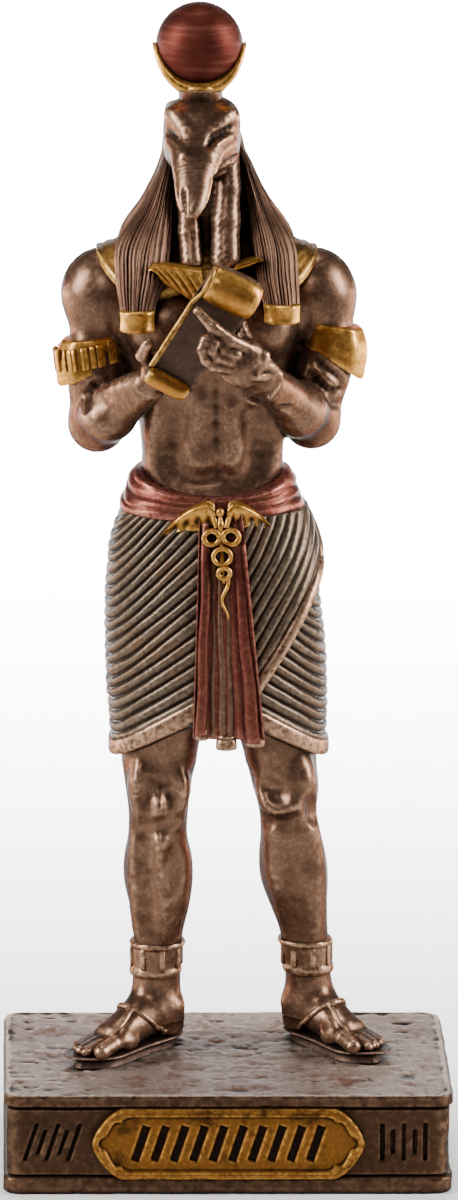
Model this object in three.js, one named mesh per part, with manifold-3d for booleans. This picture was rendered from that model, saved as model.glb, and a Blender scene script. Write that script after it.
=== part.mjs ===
// Standing ibis-headed scribe on a small plinth, a bronzed cast miniature.
// Millimetres, +Z up, +X to the figure's left, the front faces -Y.
// The origin is the centre of the plinth's underside.
import * as THREE from 'three'
import { mergeVertices } from 'three/addons/utils/BufferGeometryUtils.js'
import Module from 'manifold-3d'

const wasm = await Module()
wasm.setup()

// Driving dimensions
const FIGURE_HEIGHT = 81.75
const PLINTH_WIDTH = 34
const PLINTH_DEPTH = 22
const PLINTH_HEIGHT = 7.75
const PLINTH_CORNER = 1.3
const TOP_BAND = 0.9
const FOOT_BAND = 1.25
const BAND_GROOVE = 0.28
const GROOVE_DEPTH = 0.4
const PANEL_RECESS = 0.25
const ARRIS = 0.12
const PLATE_LENGTH = 20.6
const PLATE_TALL = 5.5
const PLATE_PROUD = 0.75
const PLATE_BORDER = 0.62
const PLATE_SUNK = 0.3
const STROKE_WIDTH = 0.62
const STROKE_DEPTH = 0.22
const STROKE_MARGIN = 0.7
const MARK_WIDTH = 0.32
const MARK_TALL = 2.9
const MARK_SHORT = 2.03
const MARK_PITCH = 0.82
const MARK_GAP = 1.35
const MARK_DEPTH = 0.16
const MARKS = 5
const STROKES = 10
const STROKE_LEAN = 18
const PLATE_STEP = 1.75
const PLATE_LOBE = 1.9
const LOBE_SHARE = 0.82
// How far a cutter reaches out past the skin that it cuts
const SKIN_CLEAR = 1

// The pose, the proportions and the carving of the figure are written at this height, measured
// from the soles, and follow FIGURE_HEIGHT as shares of it.
const POSE_HEIGHT = 81.75
const DEGREE = Math.PI / 180

const at = (x, y, z) => new THREE.Vector3(x, y, z)
const mix = THREE.MathUtils.lerp
const clamp = THREE.MathUtils.clamp

// Closed solids from rings of points

function closedGeometry(points, triangles) {
  const geometry = new THREE.BufferGeometry()
  const flat = points.flatMap((p) => [p.x, p.y, p.z])
  geometry.setAttribute('position', new THREE.Float32BufferAttribute(flat, 3))
  let volume = 0
  for (const [a, b, c] of triangles) {
    volume += points[a].dot(points[b].clone().cross(points[c]))
  }
  const order = volume < 0 ? triangles.map(([a, b, c]) => [a, c, b]) : triangles
  geometry.setIndex(order.flat())
  return geometry
}

// Joins rings of equal length. A pole closes an end with a fan, no pole with a ladder of faces
// from one side of the ring to the other, and a hoop joins its last ring to its first.
function loft(rings, { startPole, endPole, hoop = false } = {}) {
  const count = rings[0].length
  const points = rings.flat()
  const triangles = []
  const index = (ring, side) => (ring % rings.length) * count + (side % count)
  const steps = hoop ? rings.length : rings.length - 1
  for (let ring = 0; ring < steps; ring++) {
    for (let side = 0; side < count; side++) {
      const [a, b] = [index(ring, side), index(ring, side + 1)]
      const [c, d] = [index(ring + 1, side + 1), index(ring + 1, side)]
      triangles.push([a, b, c], [a, c, d])
    }
  }
  if (hoop) return closedGeometry(points, triangles)
  closeEnd(points, triangles, count, 0, startPole, false)
  closeEnd(points, triangles, count, (rings.length - 1) * count, endPole, true)
  return closedGeometry(points, triangles)
}

function closeEnd(points, triangles, count, first, pole, last) {
  const add = (a, b, c) => triangles.push(last ? [a, b, c] : [a, c, b])
  if (pole) {
    const tip = points.push(pole) - 1
    for (let side = 0; side < count; side++) add(first + side, first + ((side + 1) % count), tip)
    return
  }
  for (let low = 0, high = count - 1; high - low > 1; low++, high--) {
    add(first + low, first + low + 1, first + high)
    if (high - low > 2) add(first + low + 1, first + high - 1, first + high)
  }
}

function manifold(geometry) {
  const source = geometry.clone()
  source.deleteAttribute('normal')
  source.deleteAttribute('uv')
  const merged = mergeVertices(source, 1e-5)
  const vertProperties = new Float32Array(merged.attributes.position.array)
  const triVerts = new Uint32Array(merged.index.array)
  return new wasm.Manifold(new wasm.Mesh({ numProp: 3, vertProperties, triVerts }))
}

function toGeometry(solid) {
  const { vertProperties, triVerts, numProp } = solid.getMesh()
  const positions = new Float32Array((vertProperties.length / numProp) * 3)
  for (let i = 0; i < positions.length / 3; i++) {
    for (let axis = 0; axis < 3; axis++) positions[i * 3 + axis] = vertProperties[i * numProp + axis]
  }
  const geometry = new THREE.BufferGeometry()
  geometry.setAttribute('position', new THREE.BufferAttribute(positions, 3))
  geometry.setIndex(new THREE.BufferAttribute(triVerts, 1))
  return geometry
}

const fuse = (geometries) => geometries.map(manifold).reduce((whole, next) => whole.add(next))

// Fields: a form's rough distance at a point, below zero inside it

const ball = (centre, radius) => (p) => p.distanceTo(centre) - radius

function egg(centre, [rx, ry, rz], turn = [0, 0, 0]) {
  const back = new THREE.Quaternion().setFromEuler(new THREE.Euler(...turn.map((a) => a * DEGREE))).invert()
  return (p) => {
    const q = p.clone().sub(centre).applyQuaternion(back)
    return (Math.hypot(q.x / rx, q.y / ry, q.z / rz) - 1) * Math.min(rx, ry, rz)
  }
}

function limb(start, end, startRadius, endRadius) {
  const axis = end.clone().sub(start)
  const length2 = axis.lengthSq()
  return (p) => {
    const share = clamp(p.clone().sub(start).dot(axis) / length2, 0, 1)
    return p.distanceTo(start.clone().addScaledVector(axis, share)) - mix(startRadius, endRadius, share)
  }
}

function blend(softness, ...fields) {
  return (p) => fields.map((field) => field(p)).reduce((a, b) => {
    const overlap = Math.max(softness - Math.abs(a - b), 0) / softness
    return Math.min(a, b) - overlap * overlap * softness * 0.25
  })
}

const carve = (field, cutter) => (p) => Math.max(field(p), -cutter(p))

// Rows of [z, centre x, centre y, half width, half depth], read at any height by a smooth curve
function sectionAt(rows, z) {
  const last = rows.length - 1
  let low = 0
  while (low < last - 1 && (z - rows[low + 1][0]) * Math.sign(rows[last][0] - rows[0][0]) > 0) low++
  const [r0, r1] = [rows[Math.max(low - 1, 0)], rows[low]]
  const [r2, r3] = [rows[low + 1], rows[Math.min(low + 2, last)]]
  const t = clamp((z - r1[0]) / (r2[0] - r1[0]), 0, 1)
  return r1.map((_, i) => {
    const [entry, exit] = [(r2[i] - r0[i]) / 2, (r3[i] - r1[i]) / 2]
    const [t2, t3] = [t * t, t * t * t]
    return (2 * t3 - 3 * t2 + 1) * r1[i] + (t3 - 2 * t2 + t) * entry
      + (3 * t2 - 2 * t3) * r2[i] + (t3 - t2) * exit
  })
}

function stack(rows) {
  const ends = [rows[0][0], rows[rows.length - 1][0]]
  return (p) => {
    const [, cx, cy, width, depth] = sectionAt(rows, p.z)
    const round = (Math.hypot((p.x - cx) / width, (p.y - cy) / depth) - 1) * Math.min(width, depth)
    return Math.max(round, p.z - Math.max(...ends), Math.min(...ends) - p.z)
  }
}

// Walks from a point inside a field straight out to its surface
function surfacePoint(field, from, direction, reach = 9) {
  let travelled = 0
  for (let step = 0; step < 80; step++) {
    const gap = field(from.clone().addScaledVector(direction, travelled))
    if (gap > -0.002 || travelled > reach) break
    travelled += Math.max(-gap * 0.8, 0.01)
  }
  return from.clone().addScaledVector(direction, Math.max(travelled, 0.05))
}

// A skin over a field: rings of points round a spine, with fans of rings over its two ends
function skin({ spine, rings, sides, field, caps = 2, facing = at(0, -1, 0) }) {
  const path = new THREE.CatmullRomCurve3(spine, false, 'centripetal')
  const ringAt = (share, tilt) => {
    const origin = path.getPointAt(share)
    const tangent = path.getTangentAt(share)
    const across = tangent.clone().cross(facing).normalize()
    const front = across.clone().cross(tangent).normalize()
    return Array.from({ length: sides }, (_, side) => {
      const angle = (side / sides) * 2 * Math.PI
      const outward = front.clone().multiplyScalar(Math.cos(angle)).addScaledVector(across, Math.sin(angle))
      const direction = outward.multiplyScalar(Math.cos(tilt)).addScaledVector(tangent, Math.sin(tilt))
      return surfacePoint(field, origin, direction)
    })
  }
  const all = []
  for (let cap = caps; cap > 0; cap--) all.push(ringAt(0, (-cap / (caps + 1)) * 90 * DEGREE))
  for (let ring = 0; ring < rings; ring++) all.push(ringAt(ring / (rings - 1), 0))
  for (let cap = 1; cap <= caps; cap++) all.push(ringAt(1, (cap / (caps + 1)) * 90 * DEGREE))
  const pole = (share, way) => surfacePoint(field, path.getPointAt(share), path.getTangentAt(share).multiplyScalar(way))
  return loft(all, { startPole: pole(0, -1), endPole: pole(1, 1) })
}

const straightLimb = (start, end, startRadius, endRadius, sides = 8, rings = 3) => skin({
  spine: [start, end], rings, sides, caps: 1, field: limb(start, end, startRadius, endRadius),
  facing: Math.abs(end.y - start.y) > 2 * Math.hypot(end.x - start.x, end.z - start.z) ? at(0, 0, 1) : at(0, -1, 0),
})

// Body

const TORSO = [
  [43.0, -1.2, 2.6, 5.3, 3.9], [45.2, -1.22, 2.6, 5.4, 3.6], [47.2, -1.25, 2.6, 5.35, 3.4],
  [50.0, -1.3, 2.5, 5.7, 3.6], [53.0, -1.45, 2.4, 6.6, 4.1], [56.5, -1.6, 2.3, 7.4, 4.5],
  [59.5, -1.6, 2.5, 7.8, 4.2], [61.4, -1.65, 2.7, 6.4, 3.4], [62.7, -1.7, 2.6, 4.4, 2.8],
  [64.5, -1.75, 2.2, 2.8, 2.4],
]
const CHEST_MIDDLE = -1.55

function torso() {
  const pecs = [-1, 1].map((side) => egg(at(CHEST_MIDDLE + side * 3.1, -0.7, 57.2), [3.1, 2.1, 2.6]))
  const belly = [46.7, 49.1, 51.4].flatMap((z, row) => [-1, 1].map((side) => (
    egg(at(-1.3 + side * 1.3, -0.5 - row * 0.25, z), [1.25, 1.0, 1.1])
  )))
  const field = blend(0.7, stack(TORSO), ...pecs, ...belly)
  return skin({ spine: [at(-1.2, 2.6, 44), at(-1.5, 2.5, 54), at(-1.75, 2.3, 64)], rings: 7, sides: 14, caps: 1, field })
}

const WRIST_RADIUS = 1.3
const ARMS = {
  left: {
    shoulder: at(-9.3, 2.6, 59.2), middle: at(-10.2, 1.5, 55.0), elbow: at(-9.95, 1.1, 49.4),
    radii: [2.7, 1.95, 2.15], wrist: at(-6.2, -5.0, 53.6),
    deltoid: egg(at(-9.45, 2.6, 59.0), [3.3, 3.1, 3.7]), biceps: egg(at(-10.1, 0.9, 53.6), [2.05, 2.0, 3.0]),
    muscle: egg(at(-9.2, -0.8, 50.4), [2.1, 2.4, 2.0]),
  },
  right: {
    shoulder: at(6.9, 2.5, 58.6), middle: at(7.6, 1.3, 55.4), elbow: at(6.2, 0.9, 49.7),
    radii: [2.5, 2.0, 2.05], wrist: at(2.2, -7.4, 54.7),
    deltoid: egg(at(6.3, 2.6, 59.0), [3.25, 3.1, 3.7]), biceps: egg(at(7.4, 1.0, 54.2), [2.1, 2.0, 3.3]),
    muscle: egg(at(5.2, -1.4, 51.0), [2.1, 2.5, 2.1]),
  },
}

function arm({ shoulder, middle, elbow, radii, wrist, deltoid, biceps, muscle }) {
  const bones = [limb(shoulder, middle, radii[0], radii[1]), limb(middle, elbow, radii[1], radii[2])]
  const upper = blend(0.8, deltoid, ...bones, biceps)
  const lower = blend(0.8, limb(elbow, wrist, radii[2], WRIST_RADIUS), muscle)
  return [
    skin({ spine: [shoulder, middle, elbow], rings: 4, sides: 8, caps: 1, field: upper }),
    skin({ spine: [elbow, wrist], rings: 3, sides: 8, caps: 1, field: lower, facing: at(0, 0, 1) }),
  ]
}

// Each finger is its joints from the knuckle out; the near hand lies over the sheet
const NEAR_HAND = {
  palm: egg(at(0.7, -8.7, 56.5), [1.75, 1.05, 1.75], [0, 35, 0]), from: at(1.5, -8.1, 55.5), to: at(0.0, -8.9, 57.3),
  fingers: [
    [at(0.3, -9.2, 57.9), at(-1.1, -9.9, 59.0), at(-2.6, -9.5, 60.0)],
    [at(-0.2, -9.5, 57.2), at(-2.2, -10.0, 58.0), at(-2.7, -9.2, 58.9)],
    [at(-0.4, -9.5, 56.4), at(-2.3, -9.9, 56.7), at(-2.6, -9.1, 57.6)],
    [at(-0.3, -9.3, 55.7), at(-1.8, -9.6, 55.6), at(-2.1, -8.9, 56.3)],
    [at(0.9, -8.0, 57.7), at(0.4, -7.2, 58.9), at(-0.3, -6.9, 59.9)],
  ],
}
const FAR_HAND = {
  palm: egg(at(-5.3, -6.0, 54.9), [1.5, 1.0, 1.6], [0, 30, 0]), from: at(-6.0, -5.4, 54.0), to: at(-4.8, -6.3, 55.6),
  fingers: [
    [at(-6.0, -6.1, 55.4), at(-6.7, -6.9, 56.3), at(-6.3, -7.4, 57.3)],
    [at(-5.0, -6.3, 56.1), at(-4.3, -6.9, 57.3), at(-3.6, -7.3, 58.0)],
    [at(-4.3, -6.3, 55.6), at(-3.3, -6.9, 56.5), at(-2.7, -7.2, 57.1)],
    [at(-3.9, -6.2, 54.9), at(-2.9, -6.8, 55.4), at(-2.5, -7.2, 55.9)],
  ],
}
const FINGER_RADIUS = 0.52

function hand({ palm, from, to, fingers }) {
  const bones = fingers.map(([knuckle, joint, tip]) => {
    const field = blend(0.2, limb(knuckle, joint, FINGER_RADIUS, FINGER_RADIUS * 0.96),
      limb(joint, tip, FINGER_RADIUS * 0.96, FINGER_RADIUS * 0.78))
    return skin({ spine: [knuckle, joint, tip], rings: 3, sides: 5, caps: 0, field })
  })
  return [skin({ spine: [from, to], rings: 3, sides: 8, caps: 1, field: palm, facing: at(0.3, -1, 0) }), ...bones]
}

// Legs and feet

const LEGS = {
  left: [
    [28.0, -4.9, 2.2, 3.4, 3.6], [22.8, -5.15, 1.9, 2.85, 3.1], [20.9, -5.22, 1.7, 2.5, 2.8],
    [19.0, -5.2, 1.5, 2.28, 2.55], [17.1, -5.24, 1.7, 2.27, 2.45], [15.2, -5.19, 2.1, 2.6, 2.65],
    [13.4, -5.15, 2.3, 2.64, 2.75], [11.4, -5.07, 2.4, 2.32, 2.4], [9.4, -5.13, 2.5, 1.93, 2.0],
    [6.6, -5.3, 2.6, 1.72, 1.75], [4.6, -5.35, 2.7, 1.6, 1.75], [2.2, -5.0, 2.9, 1.5, 1.75],
  ],
  right: [
    [28.0, 3.5, 2.2, 3.4, 3.6], [22.8, 4.15, 1.9, 2.72, 3.1], [20.9, 4.51, 1.7, 2.52, 2.8],
    [19.0, 4.7, 1.55, 2.2, 2.55], [17.1, 4.93, 1.8, 2.32, 2.45], [15.2, 5.1, 2.3, 2.57, 2.65],
    [13.4, 5.27, 2.6, 2.57, 2.75], [11.4, 5.6, 2.8, 2.22, 2.4], [9.4, 5.99, 3.1, 1.88, 2.0],
    [6.6, 6.36, 3.4, 1.68, 1.75], [4.6, 6.45, 3.6, 1.58, 1.75], [2.2, 6.3, 3.9, 1.5, 1.75],
  ],
}

function leg(rows) {
  const middle = (z) => sectionAt(rows, z)
  const knee = middle(19.6)
  const kneecap = egg(at(knee[1], knee[2] - 2.1, 19.6), [1.25, 0.9, 1.5])
  const shin = middle(14)
  const calf = egg(at(shin[1], shin[2] + 1.2, 14.2), [2.3, 2.0, 3.4])
  const field = blend(0.7, stack(rows), kneecap, calf)
  const spine = [27, 22, 18, 13, 8, 3].map((z) => at(middle(z)[1], middle(z)[2], z))
  return skin({ spine, rings: 8, sides: 9, caps: 1, field })
}

// A foot runs from its heel to the middle of its toes; the sole is cut flat below at z = 0
const SOLE_THICKNESS = 0.95
const SOLE_FLARE = 0.08
const FEET = {
  left: { heel: at(-4.7, 3.4, 0), toe: at(-9.76, -2.8, 0), side: -1 },
  right: { heel: at(6.1, 4.7, 0), toe: at(10.1, -1.35, 0), side: 1 },
}
// Half widths of the sole at shares of its length, inner side first; the toe end leans outwards
const SOLE_OUTLINE = [
  [-0.2, 0, 0], [-0.15, 0.95, 0.9], [0, 1.62, 1.52], [0.25, 1.68, 1.72], [0.5, 1.6, 2.0],
  [0.75, 1.74, 2.38], [0.98, 1.7, 2.6], [1.13, 1.0, 2.45], [1.23, -0.1, 1.75], [1.27, -0.9, 0.9],
]
// Toes from the big one out: place across the sole, reach as a share of its length, radius
const TOES = [[-0.95, 1.1, 0.66], [0.2, 1.15, 0.46], [0.95, 1.13, 0.44], [1.6, 1.07, 0.42], [2.15, 0.98, 0.39]]
const KNUCKLE_LINE = 0.64
const TOE_HEIGHT = 1.6

function footFrame({ heel, toe, side }) {
  const along = toe.clone().sub(heel)
  const length = along.length()
  along.normalize()
  const outward = at(-along.y, along.x, 0).multiplyScalar(side)
  const place = (share, across, z) => heel.clone().addScaledVector(along, share * length)
    .addScaledVector(outward, across).setZ(z)
  return { place, along }
}

function sole(foot) {
  const { place } = footFrame(foot)
  const rim = [
    ...SOLE_OUTLINE.map(([share, inner]) => [share, -inner]),
    ...SOLE_OUTLINE.slice(1, -1).reverse().map(([share, , outer]) => [share, outer]),
  ]
  const middle = [0.5, 0]
  const ring = (z, inset) => rim.map(([share, across]) => (
    place(mix(share, middle[0], inset), mix(across, middle[1], inset), z)
  ))
  const rings = [ring(0, SOLE_FLARE), ring(SOLE_THICKNESS * 0.5, SOLE_FLARE), ring(SOLE_THICKNESS, 0)]
  return loft(rings, { startPole: place(...middle, 0), endPole: place(...middle, SOLE_THICKNESS) })
}

function footBody(foot) {
  const { place } = footFrame(foot)
  const heel = egg(place(0.0, 0.0, 1.7), [1.6, 1.8, 1.7])
  const ankle = limb(place(0.06, 0.1, 3.2), place(0.06, 0.1, 5.5), 1.65, 1.45)
  const instep = limb(place(0.25, 0.1, 2.9), place(0.66, 0.2, 1.75), 1.8, 1.35)
  const ballOfFoot = limb(place(0.72, -0.75, 1.5), place(0.74, 1.3, 1.35), 1.0, 0.75)
  const body = skin({
    spine: [place(0.0, 0, 1.7), place(0.34, 0.1, 2.0), place(0.76, 0.25, 1.35)], rings: 5, sides: 9, caps: 1,
    field: carve(blend(0.9, heel, ankle, instep, ballOfFoot), (p) => p.z - SOLE_THICKNESS * 0.5),
    facing: at(0, 0, 1),
  })
  const toes = TOES.map(([across, reach, radius]) => straightLimb(
    place(KNUCKLE_LINE, across * 0.85, TOE_HEIGHT), place(reach, across, SOLE_THICKNESS + radius * 0.6),
    radius * 1.05, radius * 0.9, 4, 2,
  ))
  return [body, ...toes]
}

const ANKLET_SIDES = 10

function anklet(rows) {
  const profile = [
    [5.8, -0.2], [5.9, 0.32], [6.4, 0.32], [6.6, 0.14], [8.1, 0.14], [8.3, 0.34], [8.75, -0.2],
  ]
  const rings = profile.map(([z, proud]) => {
    const [, cx, cy, width, depth] = sectionAt(rows, z)
    return Array.from({ length: ANKLET_SIDES }, (_, i) => {
      const angle = (i / ANKLET_SIDES) * 2 * Math.PI
      return at(cx + (width + proud) * Math.sin(angle), cy - (depth + proud) * Math.cos(angle), z)
    })
  })
  return loft(rings)
}

// Kilt: [z, centre x, centre y, half width, half depth]
const KILT = [
  [22.0, -0.6, 2.4, 8.1, 5.9], [24.7, -0.63, 2.4, 8.15, 6.0], [28.5, -0.77, 2.4, 8.3, 6.05],
  [32.3, -0.94, 2.4, 8.28, 6.1], [36.0, -1.16, 2.4, 8.08, 6.0], [39.8, -1.22, 2.45, 7.7, 5.7],
  [42.0, -1.24, 2.5, 7.1, 5.1], [43.8, -1.25, 2.55, 6.3, 4.5], [45.6, -1.2, 2.6, 5.2, 3.5], [47.5, -1.2, 2.6, 3.0, 2.0],
  [56.0, -1.3, 2.4, 1.0, 1.0],
]
const FLUTE_PROUD = 0.2
const FLUTES = 16
const FLUTE_PITCH = 1.45
const OVERWRAP_PITCH = 1.6
const OVERWRAP_FLUTES = 8
// The overwrap runs from one angle towards another, in degrees, until it meets the sash
const OVERWRAP_FROM = 13
const OVERWRAP_TO = 135
const OVERWRAP_TOP = 42.9
const OVERWRAP_STEPS = 5

// A point on the kilt, at an angle round it from the front, positive to the figure's left
function kiltPoint(angle, z, proud) {
  const [, cx, cy, width, depth] = sectionAt(KILT, z)
  const [s, c] = [Math.sin(angle), Math.cos(angle)]
  const square = (v) => Math.sign(v) * Math.abs(v) ** 0.88
  return at(cx + (width + proud) * square(s), cy - (depth + proud) * square(c), z)
}

// Height of flute n at an angle: each one falls from the apron to the sides and runs level behind
const fluteHeight = (n, angle) => 27.96 + FLUTE_PITCH * n - (4.46 + 0.26 * FLUTE_PITCH * n)
  * (Math.abs(angle) < 90 * DEGREE ? Math.abs(Math.sin(angle)) : 1)

function kilt() {
  const columns = 18
  const rings = []
  for (let half = 0; half <= FLUTES * 2; half++) {
    const proud = half === 0 ? 0.1 : half % 2 === 0 ? -FLUTE_PROUD : FLUTE_PROUD
    rings.push(Array.from({ length: columns }, (_, i) => {
      const angle = (i / columns) * 2 * Math.PI - Math.PI
      return kiltPoint(angle, fluteHeight(half / 2, angle), proud)
    }))
  }
  return loft(rings, { startPole: at(-0.6, 2.4, 25.5), endPole: at(-1.3, 2.4, 54) })
}

// Lower edge of the overwrap by angle in degrees, rising from the apron round the left hip
const wrapEdge = (a) => (a < 82 ? 25.4 + 0.2477 * a - 0.00113 * a * a : 38.1 + (a - 82) * 0.13)

function overwrap() {
  const rings = []
  for (let half = 0; half <= OVERWRAP_FLUTES * 2; half++) {
    const lift = (half / 2) * OVERWRAP_PITCH
    let end = OVERWRAP_FROM + 4
    while (wrapEdge(end) + lift < OVERWRAP_TOP && end < OVERWRAP_TO) end++
    const proud = half < 2 ? 0.55 : half % 2 ? 0.55 : 0.2
    const line = (under) => Array.from({ length: OVERWRAP_STEPS + 1 }, (_, i) => {
      const degrees = mix(OVERWRAP_FROM, end, i / OVERWRAP_STEPS)
      return kiltPoint(degrees * DEGREE, wrapEdge(degrees) + lift, under ? -0.8 : proud)
    })
    rings.push([...line(false), ...line(true).reverse()])
  }
  return loft(rings)
}

// Sash round the hips, dipping at the front: upper and lower edge by angle
function sash() {
  const count = 16
  const rings = Array.from({ length: count }, (_, i) => {
    const angle = (i / count) * 2 * Math.PI
    const dip = Math.max(Math.cos(angle), 0) ** 1.5
    const top = 45.7 - 1.45 * dip
    const low = 42.75 - 0.2 * dip
    const heights = [top, mix(top, low, 0.25), mix(top, low, 0.45), mix(top, low, 0.75), low]
    const prouds = [0.1, 0.5, 0.3, 0.5, 0.1]
    const points = heights.map((z, step) => {
      const fit = z > 44.2 ? 0.35 * (z - 44.2) : 0
      return kiltPoint(angle, z, prouds[step] + fit)
    })
    const inner = [low, top].map((z) => kiltPoint(angle, Math.min(z, 44.5), -1.6).setZ(z))
    return [...points, ...inner]
  })
  return loft(rings, { hoop: true })
}

// Apron: hanging cloth in folds, wider below, with three rounded ends
function apron() {
  const [top, bottom] = [43.2, 25.6]
  const rows = 5
  const folds = [0.3, 0.5, 0.0, 0.45, 0.5, 0.0, 0.5, 0.3]
  const rings = Array.from({ length: rows + 1 }, (_, row) => {
    const share = row / rows
    const z = mix(top, bottom, share)
    const [left, right] = [mix(-2.3, -2.75, share), mix(0.75, 2.75, share)]
    const flare = 0.05 + 0.4 * share
    const front = folds.map((fold, i) => {
      const x = mix(left, right, i / (folds.length - 1))
      const ends = share === 1 ? -0.55 * Math.sin((i / (folds.length - 1)) * 3 * Math.PI) ** 2 : 0
      return at(x, kiltPoint(0, Math.max(z, 26), 0).y - 0.15 - flare - fold * (0.5 + 0.5 * share), z + ends)
    })
    const back = front.map((p) => at(p.x, kiltPoint(0, Math.max(z, 26), 0).y + 0.7, z)).reverse()
    return [...front, ...back]
  })
  return loft(rings)
}

// Girdle ornament: a winged staff with looped cords, each loop by place, height and radius
const ORNAMENT = {
  middle: -0.66, knob: 43.5, foot: 38.2,
  wings: [{ side: -1, reach: 4.8, drop: 2.9, low: 40.95 }, { side: 1, reach: 4.1, drop: 2.1, low: 41.65 }],
  loops: [[-0.72, 41.55, 0.58], [0.72, 41.6, 0.6], [0.06, 40.2, 0.66], [0.22, 38.95, 0.44]],
}

function ornament() {
  const { middle, knob, foot, loops } = ORNAMENT
  const frontAt = (z) => kiltPoint(0, z, 0).y - 0.75
  const wings = ORNAMENT.wings.map(({ side, reach, drop, low }) => {
    const rings = Array.from({ length: 6 }, (_, i) => {
      const share = i / 5
      const x = middle + side * mix(0.45, reach, share)
      const upper = 44.2 - 0.3 * share - drop * share ** 2.2
      const lower = mix(41.5, low, share) + 0.6 * Math.sin(share * Math.PI)
      const y = frontAt(43) + 0.25 * share + 0.9 * share * share
      return [at(x, y - 0.15, Math.max(upper, lower + 0.15)), at(x, y, lower), at(x, y + 1.6, lower), at(x, y + 1.6, upper)]
    })
    return loft(rings)
  })
  const along = (x, z) => at(middle + x, frontAt(z) - 0.2, z)
  const staff = straightLimb(along(-0.1, knob), along(0.2, foot), 0.3, 0.2, 6, 2)
  const head = skin({
    spine: [along(-0.1, knob - 0.2), along(-0.1, knob + 0.2)], rings: 2, sides: 6, caps: 1,
    field: ball(along(-0.1, knob), 0.36),
  })
  const rings = loops.map(([x, z, radius]) => {
    const circle = new THREE.TorusGeometry(radius, 0.24, 3, 7)
    return circle.rotateX(Math.PI / 2).translate(middle + x, frontAt(z) - 0.1, z)
  })
  return [...wings, staff, head, ...rings]
}

// Collar, wig and head

// Hem of the broad collar by angle round the neck, from the front
function collar() {
  const count = 16
  const neck = at(-1.75, 2.6, 0)
  const rings = Array.from({ length: count }, (_, i) => {
    const angle = (i / count) * 2 * Math.PI
    const [s, c] = [Math.sin(angle), Math.cos(angle)]
    const side = Math.abs(s)
    const hem = at(neck.x + 8.35 * Math.sign(s) * side ** 0.8, neck.y - (c > 0 ? 5.6 : 4.9) * Math.sign(c) * Math.abs(c) ** 0.8, 0)
    const hemHeight = c > 0 ? mix(59.6, 62.4, side ** 2.2) : mix(60.4, 62.4, side ** 1.5)
    const root = at(neck.x + 3.0 * s, neck.y - 3.0 * c, 64.1)
    const middle = at(mix(root.x, hem.x, 0.6), mix(root.y, hem.y, 0.6), mix(root.z, hemHeight, 0.5) + 0.1)
    return [
      root, middle, hem.clone().setZ(hemHeight + 0.3), hem.clone().setZ(hemHeight - 0.35),
      at(mix(neck.x, hem.x, 0.7), mix(neck.y, hem.y, 0.7), hemHeight - 1.4), at(neck.x + s, neck.y - c, 62.5),
    ]
  })
  return loft(rings, { hoop: true })
}

// Pectoral wings on the breast below the neck; the scroll hides most of the second one
const PECTORAL = [
  { side: -1, root: at(-1.9, -3.6, 59.9), tip: at(-5.95, -3.3, 62.1), wide: 1.0 },
  { side: 1, root: at(0.1, -3.5, 62.15), tip: at(2.2, -3.3, 62.9), wide: 0.3 },
]

function pectoral() {
  return PECTORAL.map(({ side, root, tip, wide }) => {
    const rings = Array.from({ length: 5 }, (_, i) => {
      const share = i / 4
      const half = wide * Math.sin((0.25 + 0.65 * share) * Math.PI) ** 0.5
      const centre = root.clone().lerp(tip, share)
      return [
        at(centre.x + side * 0.3, centre.y - 0.25, centre.z + half), at(centre.x, centre.y - 0.55, centre.z),
        at(centre.x - side * 0.3, centre.y - 0.25, centre.z - half), at(centre.x, centre.y + 1.6, centre.z - half * 0.6),
        at(centre.x, centre.y + 1.6, centre.z + half * 0.6),
      ]
    })
    return loft(rings)
  })
}

const WIG = [
  [74.0, -2.2, 1.4, 1.2, 1.2], [73.2, -2.2, 1.5, 2.2, 2.3], [71.5, -2.15, 1.8, 2.85, 3.0], [69.5, -2.0, 2.1, 3.3, 3.1],
  [66.6, -1.85, 2.7, 4.7, 3.1], [63.9, -1.8, 3.3, 6.4, 3.2], [61.5, -1.8, 4.0, 6.6, 3.0], [58.0, -1.75, 4.9, 5.6, 2.5],
]
const LOCK_DEPTH = 0.16

function wigBack() {
  const sides = 24
  const heights = [73.4, 71.6, 68.6, 65.2, 61.8, 58.0]
  const rings = heights.map((z) => {
    const [, cx, cy, width, depth] = sectionAt(WIG, z)
    return Array.from({ length: sides }, (_, i) => {
      const angle = (i / sides) * 2 * Math.PI
      const lock = i % 2 ? LOCK_DEPTH : -LOCK_DEPTH
      return at(cx + (width + lock) * Math.sin(angle), cy - (depth + lock) * Math.cos(angle), z)
    })
  })
  return loft(rings, { startPole: at(-2.2, 1.5, 74.1), endPole: at(-1.75, 4.9, 58.0) })
}

// How far the hidden back of a lappet leans in towards the neck
const LAPPET_INWARD = 0.8
// Lappets: [z, outer x, inner x, front y] of the two falls of hair before the shoulders
const LAPPETS = {
  left: [
    [71.5, -4.7, -3.9, 0.4], [69.5, -5.3, -4.3, -0.2], [66.5, -6.7, -4.4, -1.2], [63.8, -8.6, -4.5, -2.7],
    [61.5, -8.7, -4.8, -3.8], [59.0, -8.35, -5.7, -4.4], [57.4, -8.35, -5.7, -4.3],
  ],
  right: [
    [71.5, 0.0, 0.7, 0.4], [69.5, 0.7, 1.6, -0.2], [66.5, 1.15, 3.1, -1.2], [63.8, 1.5, 4.7, -2.7],
    [61.5, 1.9, 5.0, -3.8], [59.5, 2.35, 5.1, -4.4], [58.1, 2.4, 5.1, -4.3],
  ],
}

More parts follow.
